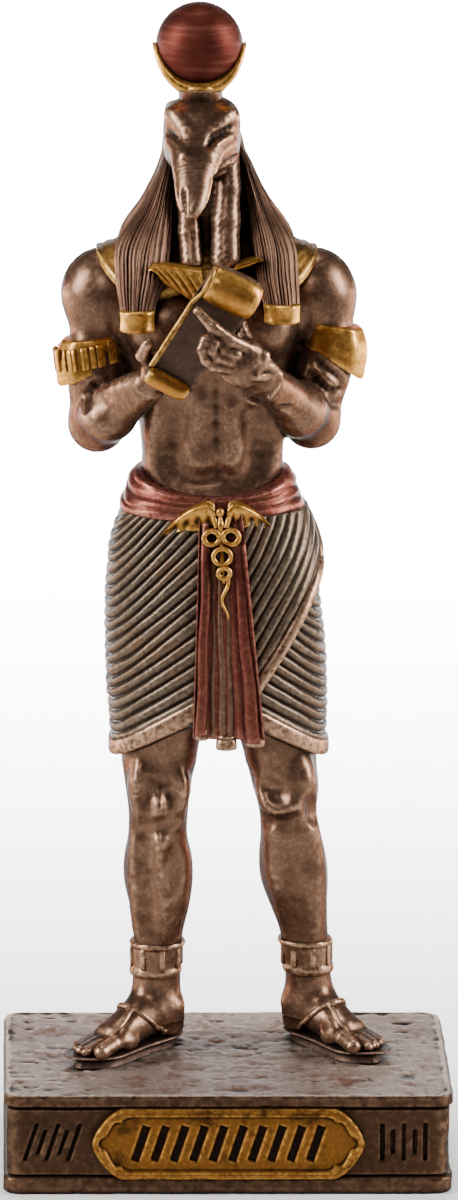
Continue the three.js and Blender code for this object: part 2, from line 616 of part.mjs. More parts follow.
function lappet(rows, inward) {
  const columns = 6
  const cap = rows[rows.length - 2][0]
  const foot = rows[rows.length - 1][0]
  const heights = [71.5, 67.5, 63.8, 61.5, cap + 0.02, cap, foot]
  const rings = heights.map((z) => {
    const [, left, right, y] = sectionAt(rows, z)
    const inCap = z <= cap
    const spread = inCap ? 0.18 : 0
    const front = Array.from({ length: columns + 1 }, (_, i) => {
      const share = i / columns
      const round = 0.9 * Math.abs(share * 2 - 1) ** 3
      const lock = inCap ? -0.22 : (i % 2 ? 0.12 : -0.12)
      return at(mix(left - spread, right + spread, share), y + round + lock, z)
    })
    const back = front.map((p) => at(p.x + inward, Math.max(y + 2.3, 2.2), z)).reverse()
    return [...front, ...back]
  })
  return loft(rings)
}

const FACE = {
  crown: egg(at(-2.2, 0.2, 72.0), [2.75, 2.9, 2.75]), jaw: egg(at(-2.25, -0.6, 70.6), [2.75, 2.4, 2.2]),
  brows: [-1, 1].map((side) => egg(at(-2.35 + side * 1.65, -1.6, 73.0), [1.5, 1.1, 0.75], [0, side * 24, 0])),
}
// Beak: [x, y, z, half width, half depth]
const BEAK = [
  [-2.42, -1.6, 71.5, 2.1, 1.9], [-2.7, -3.3, 70.5, 1.8, 1.3], [-2.92, -4.7, 69.25, 1.48, 1.05],
  [-3.0, -5.5, 68.3, 1.3, 0.92], [-3.1, -6.2, 67.5, 0.98, 0.72], [-3.18, -6.65, 67.0, 0.5, 0.46],
]
const BEAK_SIDES = 12

function head() {
  const field = blend(0.7, FACE.crown, FACE.jaw, ...FACE.brows)
  const skull = skin({ spine: [at(-2.2, 0, 73.2), at(-2.2, -0.2, 70.4)], rings: 4, sides: 12, field, caps: 1 })
  const rings = BEAK.map(([x, y, z, width, depth], i) => {
    const before = BEAK[Math.max(i - 1, 0)]
    const after = BEAK[Math.min(i + 1, BEAK.length - 1)]
    const forward = at(after[0] - before[0], after[1] - before[1], after[2] - before[2]).normalize()
    const across = at(0.97, -0.2, 0)
    const upward = across.clone().cross(forward).normalize()
    return Array.from({ length: BEAK_SIDES }, (_, side) => {
      const angle = (side / BEAK_SIDES) * 2 * Math.PI
      const groove = side === 0 ? 0.72 : 1
      return at(x, y, z).addScaledVector(across, width * Math.sin(angle))
        .addScaledVector(upward, -depth * Math.cos(angle) * groove)
    })
  })
  return [skull, loft(rings, { endPole: at(-3.2, -6.85, 66.75) })]
}

function neck() {
  const columns = [
    { spine: [at(-3.35, 0.3, 70.0), at(-3.1, -0.5, 66.0), at(-3.1, -2.2, 63.5)], radii: [1.4, 1.15, 1.08] },
    { spine: [at(-0.75, 0.3, 70.0), at(-0.55, -0.7, 66.0), at(-0.48, -2.2, 63.6)], radii: [1.45, 1.45, 1.2] },
  ]
  const nape = straightLimb(at(-2.0, 1.6, 70.5), at(-1.75, 1.8, 62), 2.3, 3.5, 7, 2)
  return [nape, ...columns.map(({ spine, radii }) => {
    const path = blend(0.4, limb(spine[0], spine[1], radii[0], radii[1]), limb(spine[1], spine[2], radii[1], radii[2]))
    return skin({ spine, rings: 4, sides: 6, field: path, caps: 1 })
  })]
}

// Disc held in a crescent
const DISC = { centre: at(-2.45, 0, 78.48), radius: 3.27 }

function crescent() {
  const reach = 93 * DEGREE
  const rings = Array.from({ length: 11 }, (_, i) => {
    const turn = mix(-reach, reach, i / 10)
    const share = Math.max(Math.cos((turn / reach) * 90 * DEGREE), 0)
    const outer = DISC.radius + 0.12 + 0.36 * share
    const inner = DISC.radius - 0.05 - 0.95 * share ** 0.6
    const deep = 0.5 + 2.15 * share ** 0.55
    const radial = at(Math.sin(turn), 0, -Math.cos(turn))
    return Array.from({ length: 6 }, (_, side) => {
      const angle = (side / 6) * 2 * Math.PI
      return DISC.centre.clone().addScaledVector(radial, mix(inner, outer, (1 + Math.cos(angle)) / 2))
        .add(at(0, deep * Math.sin(angle), 0))
    })
  })
  const foot = skin({
    spine: [at(-2.38, 0, 75.6), at(-2.3, 0, 74.2)], rings: 3, sides: 8, caps: 1,
    field: stack([
      [76.2, -2.38, 0, 1.5, 1.8], [75.6, -2.38, 0, 1.75, 2.55], [75.2, -2.36, 0, 1.72, 2.4],
      [74.8, -2.35, 0, 1.66, 2.1], [74.4, -2.3, 0, 1.72, 1.8], [73.6, -2.25, 0, 2.0, 1.9],
    ]),
  })
  return [loft(rings), foot]
}

function disc() {
  return new THREE.SphereGeometry(DISC.radius, 12, 8).rotateX(Math.PI / 2)
    .translate(DISC.centre.x, DISC.centre.y, DISC.centre.z)
}

// Arm bands: ribbed hoops whose outer sides flare and drop below; the lean is in degrees
const ARM_BANDS = [
  { centre: at(-10.3, 1.5, 55.0), lean: -9, radius: 2.05, height: 2.2, flare: 0.9, drop: 1.7 },
  { centre: at(7.7, 1.3, 56.1), lean: 9, radius: 2.0, height: 2.0, flare: 0.9, drop: 2.2 },
]
const BAND_DEPTH = 1.3

function armBand({ centre, lean, radius, height, flare, drop }) {
  const count = 16
  const turn = new THREE.Quaternion().setFromAxisAngle(at(0, 1, 0), lean * DEGREE)
  const rings = Array.from({ length: count }, (_, i) => {
    const angle = (i / count) * 2 * Math.PI
    const outer = Math.max(Math.sin(angle) * Math.sign(lean), 0)
    const rib = i % 2 ? 0.1 : 0
    const profile = [
      [-BAND_DEPTH, -height / 2], [rib + flare * outer, -height / 2 - drop * outer ** 2], [rib, height / 2],
      [-BAND_DEPTH, height / 2],
    ]
    return profile.map(([out, z]) => at((radius + out) * Math.sin(angle), -(radius - 0.2 + out) * Math.cos(angle), z)
      .applyQuaternion(turn).add(centre))
  })
  return loft(rings, { hoop: true })
}

// Scroll: a sheet between two rolls
const SCROLL = {
  upper: [at(-2.05, -8.7, 62.5), at(1.85, -8.7, 60.6)], upperRadius: 1.52,
  lower: [at(-6.45, -7.7, 55.2), at(-3.3, -7.7, 53.5)], lowerRadius: 0.72,
}

function scroll() {
  const barrel = ([start, end], radius, sides) => {
    const profile = [[0.03, 0.6], [0.2, 0.97], [0.8, 0.97], [0.97, 0.6]]
    const axis = end.clone().sub(start)
    const across = axis.clone().cross(at(0, 1, 0)).normalize()
    const rings = profile.map(([share, size]) => Array.from({ length: sides }, (_, i) => {
      const angle = (i / sides) * 2 * Math.PI
      return start.clone().addScaledVector(axis, share)
        .addScaledVector(across, radius * size * Math.cos(angle)).add(at(0, radius * size * Math.sin(angle), 0))
    }))
    return loft(rings, { startPole: start, endPole: end })
  }
  const edge = (line, back) => line.map((p) => p.clone().add(at(0, back, 0)))
  const rings = Array.from({ length: 2 }, (_, i) => {
    const share = i
    const ends = (back) => [0, 1].map((side) => edge(SCROLL.upper, back)[side].lerp(edge(SCROLL.lower, back)[side], share))
    const [frontLeft, frontRight] = ends(0.1)
    const [backLeft, backRight] = ends(0.55)
    return [frontLeft, frontRight, backRight, backLeft]
  })
  return [barrel(SCROLL.upper, SCROLL.upperRadius, 12), barrel(SCROLL.lower, SCROLL.lowerRadius, 8), loft(rings)]
}

function figure() {
  const parts = [
    torso(), ...arm(ARMS.left), ...arm(ARMS.right), ...hand(NEAR_HAND), ...hand(FAR_HAND),
    leg(LEGS.left), leg(LEGS.right), sole(FEET.left), sole(FEET.right), ...footBody(FEET.left),
    ...footBody(FEET.right), anklet(LEGS.left), anklet(LEGS.right), kilt(), overwrap(), sash(), apron(),
    ...ornament(), collar(), ...pectoral(), wigBack(), lappet(LAPPETS.left, LAPPET_INWARD),
    lappet(LAPPETS.right, -LAPPET_INWARD), ...head(), ...neck(), ...crescent(), disc(),
    ...ARM_BANDS.map(armBand), ...scroll(),
  ]
  const share = FIGURE_HEIGHT / POSE_HEIGHT
  return toGeometry(fuse(parts)).scale(share, share, share).translate(0, 0, PLINTH_HEIGHT)
}

// Plinth

// Corners by side of x, side of y and the angle in degrees where each one starts
const CORNERS = [[1, 1, 0], [-1, 1, 90], [-1, -1, 180], [1, -1, 270]]
const CORNER_POINTS = 3

function roundedRectangle(inset, z) {
  const [x, y, radius] = [PLINTH_WIDTH / 2 - inset, PLINTH_DEPTH / 2 - inset, PLINTH_CORNER]
  return CORNERS.flatMap(([sx, sy, start]) => Array.from({ length: CORNER_POINTS }, (_, i) => {
    const angle = (start + (i * 90) / (CORNER_POINTS - 1)) * DEGREE
    return at(sx * (x - radius) + radius * Math.cos(angle), sy * (y - radius) + radius * Math.sin(angle), z)
  }))
}

function plinthBlock() {
  const panelLow = FOOT_BAND + BAND_GROOVE
  const panelHigh = PLINTH_HEIGHT - TOP_BAND - BAND_GROOVE
  const levels = [
    [0, 0], [FOOT_BAND, 0], [FOOT_BAND + ARRIS, GROOVE_DEPTH], [panelLow, PANEL_RECESS],
    [panelHigh, PANEL_RECESS], [panelHigh + BAND_GROOVE - ARRIS, GROOVE_DEPTH],
    [PLINTH_HEIGHT - TOP_BAND, 0], [PLINTH_HEIGHT - ARRIS, 0], [PLINTH_HEIGHT, ARRIS],
  ]
  const rings = levels.map(([z, inset]) => roundedRectangle(inset, z))
  return loft(rings, { startPole: at(0, 0, 0), endPole: at(0, 0, PLINTH_HEIGHT) })
}

// Plate outline: a long tablet that steps in a little to a rounded lobe at each end
function plateShape(inset) {
  const [x, z] = [PLATE_LENGTH / 2 - inset, PLATE_TALL / 2 - inset]
  const step = x - PLATE_STEP
  const turn = Math.acos((PLATE_LOBE - PLATE_STEP) / PLATE_LOBE)
  const shape = new THREE.Shape()
  shape.moveTo(-step, -z)
  shape.lineTo(step, -z)
  shape.absellipse(x - PLATE_LOBE, 0, PLATE_LOBE, z * LOBE_SHARE, -turn, turn, false)
  shape.lineTo(step, z)
  shape.lineTo(-step, z)
  shape.absellipse(PLATE_LOBE - x, 0, PLATE_LOBE, z * LOBE_SHARE, Math.PI - turn, Math.PI + turn, false)
  return shape
}

const panelMiddle = (FOOT_BAND + BAND_GROOVE + PLINTH_HEIGHT - TOP_BAND - BAND_GROOVE) / 2
const panelFace = -PLINTH_DEPTH / 2 + PANEL_RECESS

// Extrudes a shape drawn on the front face, from a depth behind the face to a height before it
function onFront(shape, behind, before) {
  const geometry = new THREE.ExtrudeGeometry(shape, { depth: behind + before, bevelEnabled: false, curveSegments: 2 })
  return geometry.rotateX(Math.PI / 2).translate(0, panelFace + behind, panelMiddle)
}

function stroke(x, z, length, width, lean) {
  const [c, s] = [Math.cos(lean * DEGREE), Math.sin(lean * DEGREE)]
  const corner = (along, across) => [x + along * s + across * c, z + along * c - across * s]
  const shape = new THREE.Shape()
  shape.moveTo(...corner(-length / 2, -width / 2))
  shape.lineTo(...corner(-length / 2, width / 2))
  shape.lineTo(...corner(length / 2, width / 2))
  shape.lineTo(...corner(length / 2, -width / 2))
  return shape
}

// The inscription is rows of plain cut strokes: one on the plate, one on each side of it
function plinth() {
  const plateFloor = PLATE_PROUD - PLATE_SUNK
  const plate = manifold(onFront(plateShape(0), PANEL_RECESS, PLATE_PROUD))
  const field = manifold(onFront(plateShape(PLATE_BORDER), -plateFloor, PLATE_PROUD + SKIN_CLEAR))
  let solid = manifold(plinthBlock()).add(plate).subtract(field)
  const cut = (x, length, width, lean, floor) => {
    solid = solid.subtract(manifold(onFront(stroke(x, 0, length, width, lean), -floor, floor + SKIN_CLEAR)))
  }
  const run = PLATE_LENGTH - PLATE_TALL - 2 * PLATE_BORDER - STROKE_WIDTH
  const strokeLength = PLATE_TALL - 2 * (PLATE_BORDER + STROKE_MARGIN)
  for (let i = 0; i < STROKES; i++) {
    cut(mix(-run / 2, run / 2, i / (STROKES - 1)), strokeLength, STROKE_WIDTH, STROKE_LEAN, plateFloor - STROKE_DEPTH)
  }
  for (const side of [-1, 1]) {
    for (let i = 0; i < MARKS; i++) {
      const x = side * (PLATE_LENGTH / 2 + MARK_GAP + i * MARK_PITCH)
      cut(x, i % 2 ? MARK_SHORT : MARK_TALL, MARK_WIDTH, side < 0 ? STROKE_LEAN : 0, -MARK_DEPTH)
    }
  }
  return toGeometry(solid)
}

const object = new THREE.Group()

function addPiece(name, geometry, color, roughness, metalness) {
  const mesh = new THREE.Mesh(geometry, new THREE.MeshStandardMaterial({ color, roughness, metalness }))
  mesh.name = name
  object.add(mesh)
}

addPiece('figure', figure(), '#8a6a54', 0.42, 0.75)
addPiece('plinth', plinth(), '#5d4638', 0.5, 0.65)

export default object
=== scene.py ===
"""Ibis-headed scribe on a small plinth: the looks of a cold-cast bronze miniature around its CAD frame.

Sizes are in millimetres, and a mesh turns to metres when it becomes a piece. The figure's heights are
measured from the plinth's top, and the plinth's from its foot. +X is to the right in the photograph, and
the front faces -Y.
"""

from __future__ import annotations

import logging
import math
from dataclasses import dataclass, field
from enum import Enum
from functools import partial
from typing import Callable, Sequence

import bpy
import numpy as np
from mathutils import Euler, Matrix, Vector


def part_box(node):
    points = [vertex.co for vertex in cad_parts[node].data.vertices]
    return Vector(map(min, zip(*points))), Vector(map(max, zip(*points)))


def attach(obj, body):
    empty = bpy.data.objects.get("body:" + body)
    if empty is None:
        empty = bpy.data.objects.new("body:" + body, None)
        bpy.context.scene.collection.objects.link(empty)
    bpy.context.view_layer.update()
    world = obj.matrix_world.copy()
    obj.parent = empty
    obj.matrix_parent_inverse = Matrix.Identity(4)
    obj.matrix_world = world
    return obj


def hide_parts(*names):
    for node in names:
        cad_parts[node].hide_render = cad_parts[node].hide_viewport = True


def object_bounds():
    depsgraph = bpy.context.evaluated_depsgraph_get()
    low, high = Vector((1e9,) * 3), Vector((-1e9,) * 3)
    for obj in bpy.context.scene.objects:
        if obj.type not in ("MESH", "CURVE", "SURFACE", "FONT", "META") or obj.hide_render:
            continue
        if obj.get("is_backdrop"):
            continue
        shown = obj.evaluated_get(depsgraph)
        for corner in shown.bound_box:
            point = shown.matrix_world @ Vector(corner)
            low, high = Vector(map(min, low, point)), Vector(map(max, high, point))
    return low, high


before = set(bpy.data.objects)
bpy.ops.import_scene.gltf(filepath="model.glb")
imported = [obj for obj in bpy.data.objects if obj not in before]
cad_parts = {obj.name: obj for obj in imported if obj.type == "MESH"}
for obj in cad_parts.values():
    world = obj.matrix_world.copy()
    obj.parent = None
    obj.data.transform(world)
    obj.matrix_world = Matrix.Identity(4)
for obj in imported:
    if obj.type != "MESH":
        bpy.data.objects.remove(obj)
CAD_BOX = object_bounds()

logging.basicConfig(level=logging.INFO, format="%(message)s")
log = logging.getLogger("scribe")

MM = 0.001
Array = np.ndarray
Form = Callable[[Array], Array]
Point = Sequence[float]
Table = Sequence[Sequence[float]]


class Slot(Enum):
    """The record's material slots."""

    BRONZE = "bronze_resin"
    PLINTH = "plinth_resin"
    GOLD = "gold_paint"
    RED = "red_paint"


class Grain(Enum):
    """How a surface was left by the tool or the brush, as the stretch of its grain along x, y and z."""

    CAST = (1.0, 1.0, 1.0)
    BRUSHED_LEVEL = (0.12, 0.12, 1.6)
    BRUSHED_UPRIGHT = (1.5, 1.5, 0.16)


class Mask(Enum):
    """Where a coat begins to lie on a measure of the surface, and where it lies fully."""

    # Painted shade: the dark coat goes where ambient occlusion finds the surface shut in
    SHADED = (0.85, 0.25)
    CUT = (-0.006, -0.06)
    VALLEY = (-0.04, -0.5)
    EDGE = (0.008, 0.06)
    CROWN = (0.02, 0.3)
    BRUSHED = (0.3, 0.62)
    STAINED = (0.46, 0.7)
    STREAKED = (0.45, 0.72)


# Finishes


def linear(code: str) -> tuple[float, float, float, float]:
    """Turns an sRGB hex colour into the linear colour that a shader takes.

    Args:
        code: The colour as #rrggbb.

    Returns:
        Red, green, blue and an alpha of one.
    """
    shares = [int(code[i : i + 2], 16) / 255 for i in (1, 3, 5)]
    red, green, blue = (s / 12.92 if s <= 0.04045 else ((s + 0.055) / 1.055) ** 2.4 for s in shares)
    return red, green, blue, 1.0


def add_node(
    tree: bpy.types.NodeTree, kind: str, inputs: dict[str | int, object] | None = None, **settings: object
) -> bpy.types.Node:
    """Adds a node with its settings, and links or sets its inputs.

    Args:
        tree: The tree that gets the node.
        kind: Blender's name for the node.
        inputs: A value, a socket or a node, whose first output is linked, for inputs by name or number.
        settings: Attributes of the node.

    Returns:
        The new node.
    """
    node = tree.nodes.new(kind)
    for name, value in settings.items():
        setattr(node, name, value)
    for key, value in (inputs or {}).items():
        source = value.outputs[0] if isinstance(value, bpy.types.Node) else value
        if isinstance(source, bpy.types.NodeSocket):
            tree.links.new(source, node.inputs[key])
        else:
            node.inputs[key].default_value = source
    return node


@dataclass(frozen=True)
class Finish:
    """A paint on the casting: a base coat, a dark coat in the hollows and pale rubbed edges.

    The dark coat is partly a wash in the hollows and partly painted shade, where ambient occlusion finds the
    surface shut in by its own folds and by other parts.

    Lengths are in millimetres: patch and grain are the sizes of the stains and of the tool marks, and the
    reach of the ambient occlusion is how far it looks for what shuts the surface in.
    """

    name: str
    slot: Slot
    base: str
    rubbed: str
    wash_and_shade: str
    stain: str
    metallic: float = 0.82
    roughness: float = 0.36
    wash_and_shade_share: float = 1.0
    rub_share: float = 0.7
    stain_share: float = 0.5
    shade_reach: float = 1.3
    patch: float = 2.6
    grain: float = 0.35
    grain_height: float = 0.02
    streak: float = 0.2
    direction: Grain = Grain.CAST
    # How far the grain breaks up the wash and the painted shade, and the least of them that stays
    WASH_SHADE_BREAK = 0.5
    WASH_SHADE_LEAST = 0.72
    # How much the round forms are rubbed beside the edges
    CROWN_SHARE = 0.4
    # What the wash and painted shade take from the metal's share, and what they and the grain add to the
    # roughness
    WASH_SHADE_METAL = 0.55
    GRAIN_ROUGHNESS = 0.16
    WASH_SHADE_ROUGHNESS = 0.14

    def material(self) -> bpy.types.Material:
        """Returns the finish's material, built the first time it is asked for."""
        found = bpy.data.materials.get(self.name)
        return found if found else self._build()

    def _build(self) -> bpy.types.Material:
        """Builds the material's nodes."""
        made = bpy.data.materials.new(self.name)
        made.use_nodes = True
        made.node_tree.nodes.clear()
        add = partial(add_node, made.node_tree)
        place = add("ShaderNodeTexCoord").outputs["Object"]
        lengths = add("ShaderNodeVectorMath", {0: place, "Scale": 1 / MM}, operation="SCALE")
        stretched = add("ShaderNodeVectorMath", {0: lengths, 1: self.direction.value}, operation="MULTIPLY")
        patches = add(
            "ShaderNodeTexNoise",
            {"Vector": lengths, "Scale": 1 / self.patch, "Detail": 4.0, "Roughness": 0.6},
        )
        grain = add(
            "ShaderNodeTexNoise",
            {"Vector": stretched, "Scale": 1 / self.grain, "Detail": 3.0, "Roughness": 0.6},
        )
        relief = add("ShaderNodeAttribute", attribute_name="relief").outputs["Fac"]
        swell = add("ShaderNodeAttribute", attribute_name="swell").outputs["Fac"]
        # Painted shade: ambient occlusion darkens the coat where its own folds and other parts shut the
        # surface in
        sky = add("ShaderNodeAmbientOcclusion", {"Distance": self.shade_reach * MM}, samples=8).outputs["AO"]
        measures = {
            Mask.SHADED: sky, Mask.CUT: relief, Mask.VALLEY: swell, Mask.EDGE: relief, Mask.CROWN: swell,
            Mask.BRUSHED: grain, Mask.STAINED: patches, Mask.STREAKED: grain,
        }
        held = {
            mask: add(
                "ShaderNodeMapRange", {0: measure, 1: mask.value[0], 2: mask.value[1]},
                interpolation_type="SMOOTHSTEP",
            )
            for mask, measure in measures.items()
        }
        # The dark coat: the wash in cuts and valleys, and painted shade where the surface is shut in
        deep = add("ShaderNodeMath", {0: held[Mask.SHADED], 1: held[Mask.CUT]}, operation="MAXIMUM")
        deep = add("ShaderNodeMath", {0: deep, 1: held[Mask.VALLEY]}, operation="MAXIMUM")
        grain_break = add(
            "ShaderNodeMath", {0: grain, 1: self.WASH_SHADE_BREAK, 2: self.WASH_SHADE_LEAST}, operation="MULTIPLY_ADD"
        )
        wash_and_shade_cover = add("ShaderNodeMath", {0: deep, 1: grain_break}, operation="MULTIPLY", use_clamp=True)
        wash_and_shade_cover = add("ShaderNodeMath", {0: wash_and_shade_cover, 1: self.wash_and_shade_share}, operation="MULTIPLY", use_clamp=True)
        rubbed = add(
            "ShaderNodeMath", {0: held[Mask.CROWN], 1: self.CROWN_SHARE, 2: held[Mask.EDGE]},
            operation="MULTIPLY_ADD", use_clamp=True,
        )
        rubbed = add("ShaderNodeMath", {0: rubbed, 1: held[Mask.BRUSHED]}, operation="MULTIPLY")
        rubbed = add("ShaderNodeMath", {0: rubbed, 1: self.rub_share}, operation="MULTIPLY")
        stained = add("ShaderNodeMath", {0: held[Mask.STAINED], 1: self.stain_share}, operation="MULTIPLY")
        streaked = add("ShaderNodeMath", {0: held[Mask.STREAKED], 1: self.streak}, operation="MULTIPLY")
        colour = linear(self.base)
        coats = ((streaked, self.rubbed), (stained, self.stain), (rubbed, self.rubbed), (wash_and_shade_cover, self.wash_and_shade))
        for share, coat in coats:
            mixed = add("ShaderNodeMix", {0: share, 6: colour, 7: linear(coat)}, data_type="RGBA")
            colour = mixed.outputs[2]
        metal = add(
            "ShaderNodeMath", {0: wash_and_shade_cover, 1: -self.WASH_SHADE_METAL * self.metallic, 2: self.metallic},
            operation="MULTIPLY_ADD",
        )
        gloss = add(
            "ShaderNodeMath",
            {0: grain, 1: self.GRAIN_ROUGHNESS, 2: self.roughness - self.GRAIN_ROUGHNESS / 2},
            operation="MULTIPLY_ADD",
        )
        gloss = add(
            "ShaderNodeMath", {0: wash_and_shade_cover, 1: self.WASH_SHADE_ROUGHNESS, 2: gloss}, operation="MULTIPLY_ADD"
        )
        bump = add("ShaderNodeBump", {"Strength": 1.0, "Distance": self.grain_height * MM, "Height": grain})
        shader = add(
            "ShaderNodeBsdfPrincipled",
            {"Base Color": colour, "Metallic": metal, "Roughness": gloss, "Normal": bump,
             "Specular Tint": linear(self.stain)},
        )
        add("ShaderNodeOutputMaterial", {"Surface": shader})
        return made


# Cold-cast bronze, metal powder in resin, washed dark and rubbed back: a warm brown sheen, pale on the
# high spots, and near black in the creases and between parts from the wash and from painted shade
BRONZE = Finish(
    name="cold_cast_bronze_rubbed", slot=Slot.BRONZE, base="#6f5241", rubbed="#c49c7e", wash_and_shade="#150e0a",
    stain="#433024", metallic=0.85, roughness=0.34, stain_share=0.7,
)
# The same casting with less rubbing, for hair: dull brown strands with dark gaps of wash and painted shade
BRONZE_HAIR = Finish(
    name="cold_cast_bronze_brushed", slot=Slot.BRONZE, base="#5f4537", rubbed="#a07b62", wash_and_shade="#130d0a",
    stain="#3b2b24", metallic=0.8, roughness=0.4, grain=0.2, direction=Grain.BRUSHED_UPRIGHT,
)
# The same casting under a thin green-grey glaze, for the pleated cloth: olive ridges, black gaps of wash
# and painted shade
BRONZE_OLIVE = Finish(
    name="cold_cast_bronze_olive_glaze", slot=Slot.BRONZE, base="#52453a", rubbed="#8c7a66", wash_and_shade="#14100c",
    stain="#664936", metallic=0.75, roughness=0.4, wash_and_shade_share=0.85, rub_share=0.5, shade_reach=0.9, patch=3.5,
)
# The same casting painted darker, for the scroll's sheet, and for the soles as painted shade on their
# undercut sides: dark, only half glossy
BRONZE_DARK_AND_PAINTED_SHADE = Finish(
    name="cold_cast_bronze_dark_and_painted_shade", slot=Slot.BRONZE, base="#57443a", rubbed="#8e7060", wash_and_shade="#1b1412",
    stain="#3b2d27", metallic=0.7, roughness=0.45, patch=1.6,
)
# Metallic gold paint darkened to ochre as painted shade, a shaded copy of the gold for the name plate's
# front: darker still round its strokes
GOLD_OCHRE_PAINTED_SHADE = Finish(
    name="ochre_gold_paint_painted_shade", slot=Slot.GOLD, base="#70481f", rubbed="#b9853f", wash_and_shade="#1c1106",
    stain="#3a2614", metallic=0.75, roughness=0.42, stain_share=0.9, shade_reach=0.9, patch=1.8,
)
# The same paint brushed on thick and antiqued: deep yellow, with brown in the corners from the antiquing
# and from painted shade
GOLD = Finish(
    name="antiqued_gold_paint", slot=Slot.GOLD, base="#a87234", rubbed="#e3aa58", wash_and_shade="#241506",
    stain="#6e4514", metallic=0.85, roughness=0.32, stain_share=0.55, shade_reach=0.9, patch=1.5,
)
# The same paint wiped almost off, for the collar and the sheet's edge: brown gold with dark stains
GOLD_WORN = Finish(
    name="worn_gold_paint", slot=Slot.GOLD, base="#7d5a28", rubbed="#c79a58", wash_and_shade="#1c120a",
    stain="#4a3422", metallic=0.8, roughness=0.38, stain_share=0.9, shade_reach=1.1, patch=1.8,
)
# Copper-red metallic paint over the casting: wine red with pink light on its folds
RED = Finish(
    name="copper_red_paint", slot=Slot.RED, base="#65352c", rubbed="#b57565", wash_and_shade="#1a0b09",
    stain="#6b4535", metallic=0.78, roughness=0.38, stain_share=0.7, shade_reach=1.0,
)
# The same paint drawn round the ball with a brush: dark red with level streaks
RED_BRUSHED = Finish(
    name="copper_red_paint_brushed", slot=Slot.RED, base="#55281f", rubbed="#a86c5c", wash_and_shade="#220f0d",
    stain="#43211d", metallic=0.75, roughness=0.5, rub_share=0.2, stain_share=0.7, grain=0.5,
    grain_height=0.03, direction=Grain.BRUSHED_LEVEL,
)
# Cold-cast bronze with a cool brown glaze, for the plinth: duller than the figure, pale on its arrises
PLINTH_BROWN = Finish(
    name="cold_cast_bronze_brown_glaze", slot=Slot.PLINTH, base="#3f2c20", rubbed="#7d5f49", wash_and_shade="#0f0a07",
    stain="#2c1f18", metallic=0.72, roughness=0.38, rub_share=0.45, patch=3.4, grain=0.6, grain_height=0.03,
)
# Stone-grey wash over the rough ground, darker in its hollows and round the feet: partly brown left in the
# hollows and partly painted shade
GROUND = Finish(
    name="stone_grey_drybrush", slot=Slot.PLINTH, base="#7a6a60", rubbed="#b5a598", wash_and_shade="#1f1612",
    stain="#5d3c2e", metallic=0.3, roughness=0.6, rub_share=0.9, stain_share=0.85, shade_reach=0.8,
    grain=0.3, grain_height=0.05,
)
# Plain black wash that fills the cut strokes
WASH_FILL = Finish(
    name="black_wash_fill", slot=Slot.PLINTH, base="#1d1511", rubbed="#2c211b", wash_and_shade="#120d0b",
    stain="#241a15", metallic=0.3, roughness=0.55,
)


# Forms: a form's rough distance at points, below zero inside it


def mix(start: float | Array, end: float | Array, share: float | Array) -> float | Array:
    """Returns the value at a share of the way from start to end."""
    return start + (end - start) * share


def near(form: Form, centre: Array, reach: float, margin: float = 1.2) -> Form:
    """Skips the exact form for points that are far from it.

    Args:
        form: The form.
        centre: The middle of a sphere that holds it.
        reach: The sphere's radius.
        margin: How far outside the sphere the form is still worked out.

    Returns:
        The form, with the distance to the sphere for the points further off.
    """

    def value(points: Array) -> Array:
        """Returns the form's distance near the sphere, and the sphere's further off."""
        result = np.linalg.norm(points - centre, axis=1) - reach
        close = result < margin
        if close.any():
            result[close] = form(points[close])
        return result

    return value


def ball(centre: Point, radius: float) -> Form:
    """Returns a ball."""
    middle = np.array(centre, float)
    return lambda points: np.linalg.norm(points - middle, axis=1) - radius


def egg(centre: Point, radii: Point, turn: Point = (0, 0, 0)) -> Form:
    """Builds an ellipsoid.

    Args:
        centre: Its middle.
        radii: Its three radii.
        turn: Its turn about x, y and z in degrees.

    Returns:
        The form.
    """
    middle, sizes = np.array(centre, float), np.array(radii, float)
    turned = np.array(Euler([math.radians(a) for a in turn]).to_matrix())

    def value(points: Array) -> Array:
        """Returns the distance to the ellipsoid."""
        local = (points - middle) @ turned
        return (np.linalg.norm(local / sizes, axis=1) - 1) * sizes.min()

    return near(value, middle, float(sizes.max()))


def limb(start: Point, end: Point, start_radius: float, end_radius: float) -> Form:
    """Builds a round cone with ball ends.

    Args:
        start: The middle of its first end.
        end: The middle of its other end.
        start_radius: The radius at the start.
        end_radius: The radius at the end.

    Returns:
        The form.
    """
    first, last = np.array(start, float), np.array(end, float)
    axis = last - first
    square = float(axis @ axis)

    def value(points: Array) -> Array:
        """Returns the distance to the cone."""
        share = np.clip((points - first) @ axis / square, 0, 1)
        gap = points - first - share[:, None] * axis
        return np.linalg.norm(gap, axis=1) - mix(start_radius, end_radius, share)

    reach = math.sqrt(square) / 2 + max(start_radius, end_radius)
    return near(value, (first + last) / 2, reach)


def blend(softness: float, *forms: Form) -> Form:
    """Joins forms with a soft seam.

    Args:
        softness: The width of the seam.
        forms: The forms.

    Returns:
        The joined form.
    """

    def value(points: Array) -> Array:
        """Returns the least distance, lowered where two are alike."""
        result = forms[0](points)
        for form in forms[1:]:
            other = form(points)
            overlap = np.maximum(softness - np.abs(result - other), 0) / softness
            result = np.minimum(result, other) - overlap**2 * softness * 0.25
        return result

    return value


def notch(softness: float, form: Form, *cutters: Form) -> Form:
    """Cuts forms out of a form with soft lips.

    Args:
        softness: The width of the lips.
        form: What is cut.
        cutters: What is taken away.

    Returns:
        The form that is left.
    """
    cutter = blend(softness, *cutters)

    def value(points: Array) -> Array:
        """Returns the greater of the form's distance and the depth in the cutter, raised where alike."""
        kept, away = form(points), -cutter(points)
        overlap = np.maximum(softness - np.abs(kept - away), 0) / softness
        return np.maximum(kept, away) + overlap**2 * softness * 0.25

    return value


